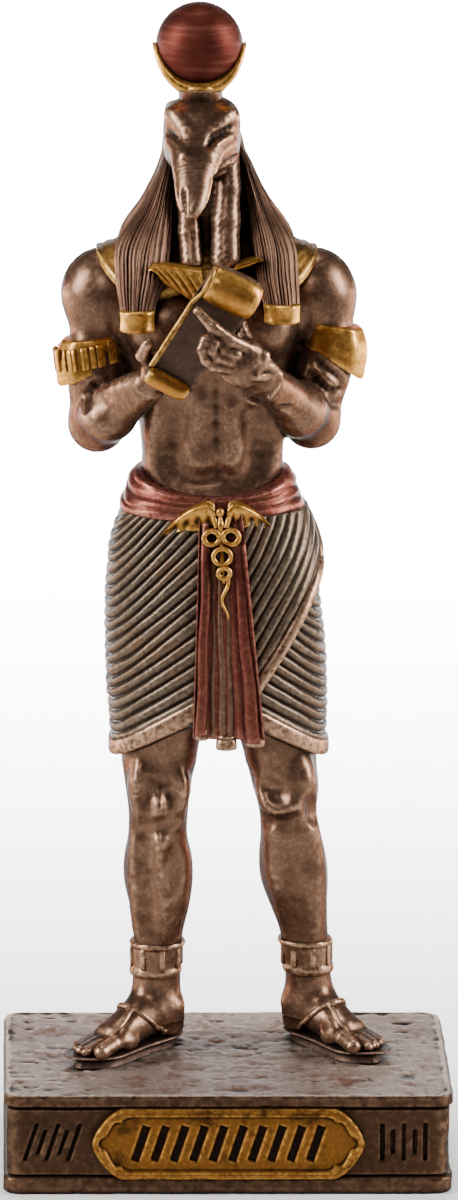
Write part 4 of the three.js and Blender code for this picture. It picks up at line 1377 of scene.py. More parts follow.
        # Each chip's middle, its depth and its width
        chips = (
            ((16.75, -10.6, 5.75), 0.36, 0.55), ((16.95, -9.9, 3.6), 0.3, 0.6),
            ((16.95, -10.1, 1.9), 0.2, 0.45),
        )
        depth = np.zeros(len(ring))
        for middle, deep, wide in chips:
            gap = np.linalg.norm(ring - middle, axis=1) / wide
            depth += deep * np.exp(-(gap**2))
        return depth

    def side_marks(self, ring: Array) -> Array:
        """Gives the depth of the plain strokes cut in the panel on each side of the plate.

        Args:
            ring: Points of the block's sides at one height.

        Returns:
            How far each point moves back.
        """
        depth = np.zeros(len(ring))
        front = ring[:, 1] < -self.depth / 2 + 1.0
        for side in (-1, 1):
            lean = math.tan(math.radians(self.stroke_lean)) if side < 0 else 0.0
            for i in range(self.marks):
                tall = self.mark_short if i % 2 else self.mark_tall
                x = side * (self.plate_length / 2 + self.mark_gap + i * self.mark_pitch)
                off = np.abs(ring[:, 0] - x - (ring[:, 2] - self.middle) * lean) - self.mark_width / 2
                end = np.abs(ring[:, 2] - self.middle) - tall / 2
                edge = np.clip(0.5 - np.maximum(off, end) / 0.1, 0, 1)
                depth = np.maximum(depth, self.mark_depth * edge)
        return np.where(front, depth, 0)

    def plate(self) -> Skin:
        """Builds the plate, its scalloped border and the row of cut strokes."""
        lengths = np.array([self.plate_length / 2, self.plate_tall / 2])
        lean, power, ease = math.radians(self.stroke_lean), self.plate_power, self.plate_round
        field_level = self.plate_proud - self.plate_sunk

        def tablet(points: Array, inset: float) -> Array:
            """Returns the distance to the plate's outline, drawn in by the inset."""
            x, z = lengths - inset
            across, up = np.abs(points[:, 0]), np.abs(points[:, 2] - self.middle)
            over = np.maximum(across - (x - self.plate_end), 0) / self.plate_end
            return ((over**power + (up / z) ** power) ** (1 / power) - 1) * z

        def front(points: Array, outer: Array) -> Array:
            """Returns how far the plate's front stands out: border, sunk field and cut strokes."""
            x, z = points[:, 0], points[:, 2] - self.middle
            scallop = self.scallop * np.cos(x * 2 * math.pi / self.scallop_pitch)
            inner = tablet(points, self.plate_border) + scallop * (np.abs(x) > self.scallop_from)
            ridge = self.plate_proud - 0.9 * np.maximum(0.12 - np.abs(outer + 0.12), 0)
            top = mix(field_level, ridge, np.clip(inner / self.step_run + 0.5, 0, 1))
            top = top - 0.05 * np.exp(-(((outer + self.plate_border * 0.5) / 0.09) ** 2))
            for place in self.stroke_places():
                along = (x - place) * math.sin(lean) + z * math.cos(lean)
                over = (x - place) * math.cos(lean) - z * math.sin(lean)
                hole = np.maximum(
                    np.abs(over) - self.stroke_width / 2, np.abs(along) - self.stroke_length / 2
                )
                top = top - self.stroke_depth * np.clip(0.5 - hole / self.stroke_run, 0, 1)
            return top + 0.02 * mottle(points[:, [0, 2]], 0.7, 21)

        def form(points: Array) -> Array:
            """Returns the distance to the plate, with its outer edge rounded."""
            height = self.face - points[:, 1]
            outer = tablet(points, 0.0)
            over = height - front(points, outer)
            corner = np.hypot(np.maximum(outer + ease, 0), np.maximum(over + ease, 0)) - ease
            rounded = np.where((outer > -ease) & (over > -ease), corner, np.maximum(outer, over))
            return np.maximum(rounded * 0.8, -0.3 - height)

        x, z = lengths + 0.3
        low = (-x, self.face - self.plate_proud - 0.3, self.middle - z)
        high = (x, self.face + 0.6, self.middle + z)
        return surface(form, low, high, self.plate_cell)


# Legs, feet and sandals


@dataclass
class Leg:
    """One leg from under the kilt to the toes, with its anklet and its sandal."""

    name: str
    rows: Table
    heel: Point
    toe: Point
    side: int
    muscles: Sequence[Stroke]
    seam: float = 6.6
    sole_thickness: float = 0.95
    knuckle_line: float = 0.64
    toe_height: float = 1.6
    knee: float = 19.6
    calf: float = 14.2
    bar_height: float = 7.3
    bars: int = 8
    bar_size: Point = (0.42, 0.28, 1.75)
    leg_cell: float = 0.2
    foot_cell: float = 0.125
    # The sandal's outline: the way from heel to toe, and its inner and outer half widths there
    outline: Table = (
        (-0.2, 0, 0), (-0.17, 0.75, 0.7), (-0.08, 1.4, 1.3), (0.08, 1.72, 1.62), (0.28, 1.66, 1.75),
        (0.5, 1.6, 2.0), (0.75, 1.74, 2.38), (0.96, 1.72, 2.6), (1.1, 1.2, 2.5), (1.2, 0.3, 2.05),
        (1.26, -0.5, 1.4), (1.27, -0.9, 0.9),
    )
    # Each toe's distance from the foot's middle line, its reach and its radius
    toes: Table = (
        (-0.95, 1.1, 0.64), (0.2, 1.15, 0.44), (0.95, 1.13, 0.42), (1.6, 1.07, 0.4), (2.15, 0.98, 0.37),
    )

    def build(self, bench: Bench) -> None:
        """Builds the leg's pieces.

        Args:
            bench: Where the pieces are made.
        """
        bench.piece(f"{self.name}_leg", self.shank(bench.sight), BRONZE)
        bench.piece(f"{self.name}_foot", self.foot(), BRONZE)
        bench.piece(f"{self.name}_anklet", self.anklet(), BRONZE, crease=55)
        # The sole is painted darker, as painted shade on its undercut side
        bench.piece(f"{self.name}_sole", self.sole(), BRONZE_DARK_AND_PAINTED_SHADE, crease=60)
        bench.cords(f"{self.name}_sandal_straps", self.straps(), 10, 0.12, BRONZE)
        bench.ribs(f"{self.name}_anklet_bars", self.anklet_bars(), BRONZE)

    @property
    def sections(self) -> Rows:
        """The leg's sections by height."""
        return Rows(self.rows)

    def place(self, share: float, across: float, height: float) -> Array:
        """Gives a point on the foot.

        Args:
            share: The way from the heel to the middle of the toes.
            across: The distance outwards from the foot's middle line.
            height: The height above the plinth.

        Returns:
            The point.
        """
        heel, toe = np.array(self.heel, float), np.array(self.toe, float)
        along = (toe - heel) / np.linalg.norm(toe - heel)
        outward = np.array([-along[1], along[0]]) * self.side
        flat = heel + (toe - heel) * share + outward * across
        return np.array([flat[0], flat[1], height])

    def leg_form(self) -> Form:
        """The whole leg with its knee, shin and calf, before it is cut to the shank."""
        rows, side = self.sections, self.side
        kx, ky, *_ = rows.at(self.knee)
        cx, cy, *_ = rows.at(self.calf)
        ax, ay, *_ = rows.at(8.6)
        muscles = [
            egg((kx, ky - 2.1, self.knee), (1.25, 0.9, 1.5)),
            egg((kx - side * 1.35, ky - 1.6, 21.6), (0.9, 0.9, 1.5), (0, side * 14, 0)),
            egg((kx + side * 1.2, ky - 1.65, 22.0), (0.8, 0.9, 1.6), (0, -side * 16, 0)),
            egg((cx, cy + 1.2, self.calf), (2.3, 2.0, 3.4)),
        ]
        shin = limb((kx + side * 0.07, ky - 2.1, 17.2), (ax, ay - 1.15, 8.6), 0.5, 0.55)
        return blend(0.7, stack(rows), *muscles, shin)

    def shank(self, sight: Sight) -> Skin:
        """Builds the leg from the anklet up, with the muscles that the lines of sight place.

        Args:
            sight: The lines of sight.

        Returns:
            The skin.
        """
        form = above(below(sight.drawn(0.8, self.leg_form(), self.muscles), 27.4), self.seam)
        x, y = self.rows[3][1:3]
        return surface(form, (x - 5, y - 5.5, self.seam - 0.5), (x + 5.5, y + 6, 28), self.leg_cell)

    def foot_form(self) -> Form:
        """The foot with its toes, standing in the sandal."""
        place = self.place
        toes = []
        for across, reach, radius in self.toes:
            stops = (
                (self.knuckle_line, across * 0.85, self.toe_height),
                (mix(self.knuckle_line, reach, 0.55), across * 0.95, self.sole_thickness + radius * 1.25),
                (reach, across, self.sole_thickness + radius * 0.72),
            )
            toes.append(chain([place(*stop) for stop in stops], (radius, radius * 0.92, radius * 0.92), 0.1))
        forms = [
            egg(place(0.0, 0.0, 1.7), (1.6, 1.8, 1.7)),
            limb(place(0.06, 0.1, 3.2), place(0.06, 0.1, 6.4), 1.62, 1.5),
            limb(place(0.25, 0.1, 2.9), place(0.66, 0.2, 1.75), 1.8, 1.3),
            limb(place(0.7, -0.6, 1.4), place(0.74, 1.3, 1.35), 0.82, 0.7),
            ball(place(0.05, -1.35, 3.3), 0.7),
            ball(place(0.05, 1.5, 3.0), 0.7),
            below(above(stack(self.sections), 2.5), 8.0),
        ]
        body = blend(0.9, *forms)
        tendons = [
            limb(place(0.36, across * 0.35, 3.55), place(0.74, across * 0.85, 2.1), 0.22, 0.3)
            for across, _, _ in self.toes[:4]
        ]
        return blend(0.34, blend(0.6, body, *tendons), *toes)

    def foot(self) -> Skin:
        """Builds the foot up to the anklet."""
        form = above(below(self.foot_form(), self.seam + 0.5), self.sole_thickness * 0.55)
        corners = np.array([self.place(s, a, 0) for s in (-0.3, 1.45) for a in (-3, 3.4)])
        low, high = corners.min(0), corners.max(0)
        return surface(form, (low[0], low[1], 0.2), (high[0], high[1], self.seam + 1), self.foot_cell)

    def sole(self) -> Skin:
        """Builds the sandal's slab, flared at its upper rim and undercut below it."""
        control = [(s, -inner) for s, inner, _ in self.outline]
        control += [(s, outer) for s, _, outer in self.outline[1:-1][::-1]]
        dense = smooth_path([*control, control[0]], 161)[:-1]
        top = self.sole_thickness
        levels = (
            (0.02, 0.5), (0.22, 0.6), (0.5, 0.66), (top - 0.27, 0.55), (top - 0.2, 0.06), (top - 0.1, -0.04),
            (top, 0.02), (top + 0.02, 0.12), (top - 0.05, 0.2), (top - 0.04, 0.4), (top - 0.03, 1.2),
        )
        rings = []
        for height, inset in levels:
            along, across = 1 - inset / 5.6, 1 - inset / 2.1
            rings.append([self.place(0.5 + (s - 0.5) * along, a * across, height) for s, a in dense])
        tips = [self.place(0.5, 0.2, height) for height in (levels[0][0], levels[-1][0])]
        return loft(rings, Ends.FAN, tips)

    def straps(self) -> list[Array]:
        """Lays the sandal's straps over the instep: a knot, a strap to each side and one to the toes."""
        place = self.place
        form = self.foot_form()

        def laid(stops: Table, thickness: Sequence[float]) -> Array:
            """Returns a strap that lies on the foot, through stops from the knot."""
            rough = np.array([place(*stop) for stop in (knot, *stops)])
            path = smooth_path(np.column_stack([rough, thickness]), 26)
            path[:, :3] = settle(form, path[:, :3], 0.5, 6)
            return path

        knot = (0.52, -0.15, 3.3)
        inner = laid(((0.42, -1.2, 2.7), (0.3, -1.75, 1.7), (0.22, -1.8, 1.0)), (0.26, 0.22, 0.2, 0.2))
        outer = laid(((0.4, 1.1, 2.9), (0.27, 1.8, 1.9), (0.2, 1.85, 1.0)), (0.26, 0.26, 0.26, 0.24))
        between = laid(((0.7, -0.3, 2.4), (0.86, -0.28, 1.8), (1.0, -0.3, 1.2)), (0.26, 0.2, 0.17, 0.15))
        return [inner, outer, between, laid(((0.56, -0.15, 3.1),), (0.42, 0.34))]

    def anklet(self) -> Skin:
        """Builds the anklet: a band between a thin rim above and a thick one below."""
        profile = (
            (5.68, -0.3), (5.7, 0.1), (5.83, 0.28), (6.1, 0.34), (6.35, 0.29), (6.5, 0.22), (6.62, 0.19),
            (6.7, 0.19), (7.0, 0.19), (7.3, 0.19), (7.6, 0.19), (7.92, 0.19), (8.0, 0.19), (8.08, 0.22),
            (8.2, 0.3), (8.36, 0.32), (8.52, 0.22), (8.58, -0.3),
        )
        angles = full_turn(120)
        rings = []
        for z, proud in profile:
            x, y, width, depth = self.sections.at(z)
            rings.append(oval(angles, x, y, width + proud, depth + proud, z))
        return loft(rings)

    def anklet_bars(self) -> list[Sequence[Point]]:
        """Places the upright bars that part the anklet's panels."""
        x, y, width, depth = self.sections.at(self.bar_height)
        bars = []
        for angle in full_turn(self.bars, math.radians(12)):
            out = np.array([math.sin(angle), -math.cos(angle), 0])
            spot = np.array([x, y, self.bar_height]) + out * (width + 0.17, depth + 0.17, 0)
            bars.append((spot, (0, 0, 1), out, self.bar_size))
        return bars


# The kilt, its sash, its apron and the girdle ornament


@dataclass
class Kilt:
    """A pleated kilt wrapped over itself on the right, with a sash and an apron."""

    rows: Table = (
        (22.0, -0.6, 2.4, 8.1, 5.9), (24.7, -0.63, 2.4, 8.15, 6.0), (28.5, -0.77, 2.4, 8.3, 6.05),
        (32.3, -0.94, 2.4, 8.28, 6.1), (36.0, -1.16, 2.4, 8.08, 6.0), (39.8, -1.22, 2.45, 7.7, 5.7),
        (42.0, -1.24, 2.5, 7.1, 5.1), (43.8, -1.25, 2.55, 6.3, 4.5), (45.6, -1.2, 2.6, 5.2, 3.5),
        (47.5, -1.2, 2.6, 3.0, 2.0), (56.0, -1.3, 2.4, 1.0, 1.0),
    )
    # The power that squares the section a little, the height of the first pleat in front, and how far the
    # pleats fall to the sides, the first one and more for each further one
    section_power: float = 0.88
    front_height: float = 27.96
    first_fall: float = 4.46
    more_fall: float = 0.31
    flutes: int = 23
    flute_rows: int = 8
    flute_depth: float = 0.19
    flute_pitch: float = 1.18
    pleat_top: float = 43.3
    # Each fold's place at the top and at the bottom, half its width there, and its lower end
    folds: Table = (
        (-1.75, -2.13, 0.36, 0.46, 26.4), (-1.15, -1.2, 0.13, 0.18, 26.3), (-0.85, -0.42, 0.2, 0.3, 25.6),
        (-0.35, 0.16, 0.17, 0.27, 25.6), (0.35, 1.92, 0.36, 0.64, 25.9),
    )
    wrap_pitch: float = 1.32
    wrap_proud: float = 0.42
    # The overwrap's angles in degrees, and its edge: from its lowest point it rises, bending over, up to
    # an angle, and from the height there it runs on almost level
    wrap_from: float = 13.0
    wrap_turn: float = 82.0
    wrap_to: float = 136.0
    wrap_low: float = 25.4
    wrap_rise: float = 0.2477
    wrap_bend: float = 0.00113
    wrap_high: float = 38.1
    wrap_run: float = 0.13
    wrap_top: float = 42.9
    sash_top: float = 45.7
    sash_low: float = 42.75
    apron_top: float = 43.3
    apron_low: float = 26.1

    def build(self, bench: Bench) -> None:
        """Builds the kilt's pieces.

        Args:
            bench: Where the pieces are made.
        """
        bench.piece("kilt_pleats", self.pleats(), BRONZE_OLIVE)
        bench.piece("kilt_overwrap", self.overwrap(), BRONZE_OLIVE)
        bench.piece("kilt_hem", self.hem(), BRONZE, crease=70)
        bench.piece("kilt_overwrap_border", self.border(), BRONZE)
        bench.piece("sash", self.sash(), RED)
        bench.piece("apron", self.apron(), RED)
        bench.piece("apron_side_folds", Skin.joined([self.fold(*self.folds[i]) for i in (0, 4)]), RED)
        bench.piece("apron_middle_folds", Skin.joined([self.fold(*self.folds[i]) for i in (1, 2, 3)]), BRONZE)
        bench.piece("apron_cuffs", self.cuffs(), BRONZE, crease=70)

    def point(self, angle: Array, z: Array, proud: Array | float) -> Array:
        """Gives points on the kilt.

        Args:
            angle: The angle round it from the front, in radians, positive to the right.
            z: The height.
            proud: How far the point stands out.

        Returns:
            The points, with the axis last.
        """
        x, y, width, depth = Rows(self.rows).at(z)
        s, c = np.sin(angle), np.cos(angle)
        across = np.sign(s) * np.abs(s) ** self.section_power
        along = np.sign(c) * np.abs(c) ** self.section_power
        return np.stack(np.broadcast_arrays(x + (width + proud) * across, y - (depth + proud) * along, z), -1)

    def pleat_height(self, number: Array | float, angle: Array) -> Array:
        """Gives the height of a pleat at an angle: each falls from the apron to the sides.

        Args:
            number: The pleat's number from the hem.
            angle: The angle in radians.

        Returns:
            The height.
        """
        fall = np.where(np.abs(angle) < math.pi / 2, np.abs(np.sin(angle)), 1.0)
        front = self.front_height + self.flute_pitch * number
        return front - (self.first_fall + self.more_fall * number) * fall

    def ridge(self, phase: float) -> float:
        """Returns how far a pleat stands out at a phase across it: a round back and a narrow gap."""
        return self.flute_depth * (2 * np.abs(np.sin(math.pi * phase)) ** 0.45 - 1.25)

    def pleats(self) -> Skin:
        """Builds the pleated cloth of the whole kilt."""
        angles = full_turn(290, -math.pi)
        rings = [self.point(angles, self.pleat_height(0.9, angles) + 0.6, -0.9)]
        for step in range(self.flute_rows + 3, self.flutes * self.flute_rows + 1):
            number = step / self.flute_rows
            wobble = 0.1 * level_mottle(np.cos(angles) * 6, number * 1.7, 1.6, 31)
            waver = 0.05 * level_mottle(np.sin(angles) * 9, number * 1.3, 1.1, 32)
            height = np.minimum(self.pleat_height(number + wobble, angles), self.pleat_top)
            ridge = self.ridge(number) * np.clip((self.pleat_top - height) / 1.5, 0, 1)
            rings.append(self.point(angles, height, ridge + waver))
        return loft(rings, Ends.FAN, ((-0.6, 2.4, 26.4), (-1.3, 2.4, self.pleat_top + 0.1)))

    def hem(self) -> Skin:
        """Builds the smooth band along the hem."""
        angles = full_turn(330, -math.pi)
        profile = (
            (0.02, -1.2), (0.0, -0.2), (0.02, 0.14), (0.1, 0.26), (0.3, 0.32), (1.15, 0.3), (1.38, 0.24),
            (1.5, 0.06), (1.54, -0.6),
        )
        rings = []
        for number, proud in profile:
            wave = 0.04 * level_mottle(angles * 6, number, 1.5, 33)
            rings.append(self.point(angles, self.pleat_height(number, angles), proud + wave))
        return loft(rings, Ends.FAN, ((-0.6, 2.4, 25.8), (-0.6, 2.4, 27.0)))

    def wrap_edge(self, degrees: Array) -> Array:
        """Gives the height of the overwrap's edge, rising from the apron round the right hip.

        Args:
            degrees: The angle in degrees.

        Returns:
            The height.
        """
        rising = self.wrap_low + self.wrap_rise * degrees - self.wrap_bend * degrees**2
        running = self.wrap_high + (degrees - self.wrap_turn) * self.wrap_run
        return np.where(degrees < self.wrap_turn, rising, running)

    def wrap_line(self, lift: float, count: int) -> Array:
        """Gives the angles of a line that runs a fixed height above the overwrap's edge.

        Args:
            lift: The height above the edge.
            count: The number of angles.

        Returns:
            Angles in degrees, up to where the line meets the sash.
        """
        every = np.linspace(self.wrap_from, self.wrap_to, 600)
        under = self.wrap_edge(every) + lift < self.wrap_top
        end = every[under].max() if under.any() else self.wrap_from + 1
        return np.linspace(self.wrap_from, max(end, self.wrap_from + 3), count)

    def overwrap(self) -> Skin:
        """Builds the pleated layer that crosses the right hip."""
        room = self.wrap_top - self.wrap_edge(np.array(self.wrap_from)) + 1
        rings = []
        for step in range(3, int(room / self.wrap_pitch * self.flute_rows)):
            number = step / self.flute_rows
            lift = number * self.wrap_pitch
            degrees = self.wrap_line(lift, 130)
            angle, height = np.radians(degrees), np.minimum(self.wrap_edge(degrees) + lift, self.wrap_top)
            wobble = 0.05 * level_mottle(degrees / 6, number, 1.3, 34)
            outer = self.point(angle, height, self.wrap_proud + self.ridge(number) * 0.9 + wobble)
            inner = self.point(angle, height, -0.8)
            rings.append(np.concatenate([outer, inner[::-1]]))
        return loft(rings, Ends.LADDER)

    def border(self) -> Skin:
        """Builds the rounded band along the overwrap's edge."""
        degrees = np.linspace(self.wrap_from, self.wrap_to, 150)
        height = self.wrap_edge(degrees)
        angle = np.radians(degrees)
        profile = (
            (-0.02, -0.7), (-0.04, 0.3), (0.02, 0.56), (0.2, 0.72), (0.5, 0.74), (0.78, 0.66), (0.92, 0.46),
            (0.98, -0.7),
        )
        # The band keeps its width where the edge runs steep: its rise for each millimetre round the hip
        rise = np.gradient(height, degrees) * 57.3 / 8.2
        steep = np.maximum(1 / np.hypot(1, rise), 0.4)
        rings = np.array([self.point(angle, height + up / steep, out) for up, out in profile])
        return loft(np.moveaxis(rings, 0, 1), Ends.FAN)

    def sash(self) -> Skin:
        """Builds the folded cloth round the hips, dipping at the front."""
        angles = full_turn(260)
        dip = np.maximum(np.cos(angles), 0) ** 1.5
        top, low = self.sash_top - 1.45 * dip, self.sash_low - 0.2 * dip
        rings = []
        for share in np.linspace(0, 1, 30):
            z = mix(top, low, share)
            fit = 0.7 * np.maximum(z - 44.2, 0) / 2
            swell = 0.4 * np.sin(math.pi * np.clip(share, 0.02, 0.98)) ** 0.4 * 0.75
            phase = share * 3.1 + 0.35 * np.sin(angles * 2 + 0.7) + 0.12 * np.sin(angles * 7)
            folds = 0.14 * (np.abs(np.sin(math.pi * phase)) ** 0.7 - 0.5) * math.sin(math.pi * share) ** 0.3
            fine = 0.05 * level_mottle(angles * 2.2 + share * 1.5, share * 9, 1.0, 41)
            rings.append(self.point(angles, z, 0.08 + swell + folds + fit + fine))
        for z in (low, top):
            under = self.point(angles, np.minimum(z, 44.0), -1.6)
            under[:, 2] = z
            rings.append(under)
        return loft(rings, Ends.HOOP)

    def front(self, z: Array | float) -> Array:
        """Returns the place of the kilt's front along y at a height."""
        heights = np.maximum(np.asarray(z, float), 26.0)
        return self.point(np.zeros_like(heights), heights, 0.0)[..., 1]

    def apron(self) -> Skin:
        """Builds the hanging cloth with its folds."""
        top, low = self.apron_top, self.apron_low
        share = np.linspace(0, 1, 72)
        edge = 0.16 * np.exp(-((share / 0.03) ** 2)) + 0.1 * np.exp(-(((1 - share) / 0.03) ** 2))
        ripple = 0.08 * np.cos(share * 2 * math.pi * 6)
        rings = []
        for z in np.linspace(top, low, 90):
            down = (top - z) / (top - low)
            left, right = mix(-2.3, -2.72, down), mix(0.95, 2.72, down)
            proud = 0.38 + 0.25 * down + edge + ripple * (0.4 + 0.6 * down) + 0.3 * share
            front = np.column_stack([mix(left, right, share), self.front(z) - proud, np.full(len(share), z)])
            rings.append(slab_ring(front, self.front(z) + 0.7))
        return loft(rings, Ends.LADDER)

    def fold(self, top_x: float, low_x: float, top_wide: float, low_wide: float, low: float) -> Skin:
        """Builds a round fold of the apron.

        Args:
            top_x: The place of its middle at the top.
            low_x: The place of its middle at the bottom.
            top_wide: Half its width at the top.
            low_wide: Half its width at the bottom.
            low: The height of its lower end.

        Returns:
            The skin.
        """
        angles, top = full_turn(28), 42.6
        rings = []
        for z in np.linspace(top, low, 70):
            down = (top - z) / (top - low)
            x = mix(top_x, low_x, down) + 0.05 * math.sin(z * 0.9 + low_x * 3)
            wide = mix(top_wide, low_wide, down)
            rings.append(oval(angles, x, self.front(z) - 0.38 - 0.32 * down, wide, wide * 0.85, z))
        return loft(rings)

    def cuffs(self) -> Skin:
        """Builds the rounded ends of the apron's three folds."""
        profile = (
            (1.15, 0.55), (1.1, 0.8), (1.0, 0.9), (0.9, 0.86), (0.86, 0.82), (0.8, 0.96), (0.5, 1.03),
            (0.15, 1.04), (0.02, 0.98), (-0.03, 0.8), (-0.02, 0.5),
        )
        y = self.front(26.0) - 0.55
        skins = []
        for x, z, wide in ((-2.13, 26.05, 0.54), (-0.18, 25.3, 0.78), (1.95, 25.55, 0.74)):
            rings = [
                oval(full_turn(48), x, y, wide * size, wide * 0.8 * size, z + up) for up, size in profile
            ]
            skins.append(loft(rings))
        return Skin.joined(skins)


@dataclass
class GirdleOrnament:
    """A gilt winged staff with looped cords that hangs on the apron."""

    kilt: Kilt
    middle: float = -0.66
    cord: float = 0.2
    # Each loop's place from the middle, its height and its radius
    loops: Table = (
        (-0.72, 41.55, 0.58), (0.72, 41.6, 0.6), (0.06, 40.2, 0.66), (0.22, 38.95, 0.44),
    )

    def build(self, bench: Bench) -> None:
        """Builds the wings, the staff and the cords.

        Args:
            bench: Where the pieces are made.
        """
        bench.piece("ornament_wings", Skin.joined([self.wing(-1), self.wing(1)]), GOLD, crease=60)
        bench.cords("ornament_cords", self.cords(), 12, 0.08, GOLD)

    def front(self, z: float) -> float:
        """Returns how far forward the ornament stands at a height."""
        return float(self.kilt.front(z)) - 0.75

    def wing(self, side: int) -> Skin:
        """Builds one wing: a crescent shape with a raised upper edge and a tip that points down.

        Args:
            side: -1 for the left wing, 1 for the right one.

        Returns:
            The skin.
        """
        reach, droop, tip = (4.8, 2.9, 40.95) if side < 0 else (4.1, 2.1, 41.65)
        # The wing's section from its upper edge down: a raised edge, the feathers and a thin lower edge
        rise = np.array([0, 0.06, 0.14, 0.24, 0.4, 0.55, 0.7, 0.82, 0.92, 1.0])
        proud = np.array([0.1, 0.24, 0.3, 0.26, 0.12, 0.02, -0.02, 0.02, 0.06, -0.08])
        rings = []
        for share in np.linspace(0, 1, 40):
            x = self.middle + side * mix(0.45, reach, share)
            upper = 44.2 - 0.3 * share - droop * share**2.2 - 0.5 * max(0.12 - share, 0) / 0.12
            lower = mix(41.5, tip, share) + 0.6 * math.sin(math.pi * share)
            upper = max(upper, lower + 0.12)
            y = self.front(43.0) + 0.25 * share + 0.9 * share**2
            feather = 0.035 * math.cos(share * 2 * math.pi * 5) * (rise > 0.3)
            front = np.column_stack([np.full(len(rise), x), y - proud - feather, mix(upper, lower, rise)])
            rings.append(slab_ring(front, y + 1.5))
        return loft(rings, Ends.LADDER)

    def cords(self) -> list[Array]:
        """Lays the staff, its knob, the loops and the wavy tail."""
        m, front = self.middle, self.front
        lines = [smooth_path([
            (m - 0.1, front(43.2) - 0.2, 43.75, 0.1), (m - 0.1, front(43.2) - 0.25, 43.6, 0.3),
            (m - 0.1, front(43.2) - 0.25, 43.3, 0.3), (m - 0.08, front(43.0) - 0.2, 43.0, 0.16),
            (m - 0.05, front(42.4) - 0.15, 42.5, 0.26), (m - 0.02, front(42) - 0.1, 41.4, 0.22),
            (m + 0.1, front(40) - 0.05, 39.6, 0.17), (m + 0.2, front(38.6) - 0.02, 38.2, 0.14),
        ], 80)]
        turn = np.linspace(0, 2 * math.pi, 33)
        for x, z, radius in self.loops:
            thick = self.cord * (1.1 if z > 41 else 0.95)
            lines.append(np.column_stack([
                m + x + radius * np.cos(turn), np.full(len(turn), front(z) - 0.12),
                z + radius * 0.92 * np.sin(turn), np.full(len(turn), thick),
            ]))
        for side in (-1, 1):
            lines.append(smooth_path([
                (m + side * 1.15, front(43.8) + 0.05, 44.1, 0.14),
                (m + side * 0.72, front(43.8), 44.0, 0.18),
                (m + side * 0.62, front(43.0) - 0.02, 43.3, 0.2),
                (m + side * 0.35, front(42.0) - 0.05, 42.3, 0.2),
            ], 24))
        tail = [
            (m + 0.3 + 0.24 * math.cos(z * 2.3), front(z) + 0.02, z, 0.08 + 0.03 * (z - 35.4))
            for z in np.arange(38.7, 35.2, -0.4)
        ]
        return [*lines, smooth_path(tail, 40)]


# The body


@dataclass
class Arm:
    """One arm: its upper part from the shoulder to the elbow with the radii, its wrist and its muscles."""

    upper: Table
    wrist: Point
    deltoid: tuple[Point, Point]
    biceps: tuple[Point, Point]
    muscle: tuple[Point, Point]

    def form(self) -> Form:
        """Builds the arm from the shoulder to the wrist."""
        joints, radii = [row[:3] for row in self.upper], [row[3] for row in self.upper]
        upper = blend(0.8, egg(*self.deltoid), chain(joints, radii, 0.8), egg(*self.biceps))
        return blend(0.6, upper, limb(joints[-1], self.wrist, 2.1, 1.3), egg(*self.muscle))


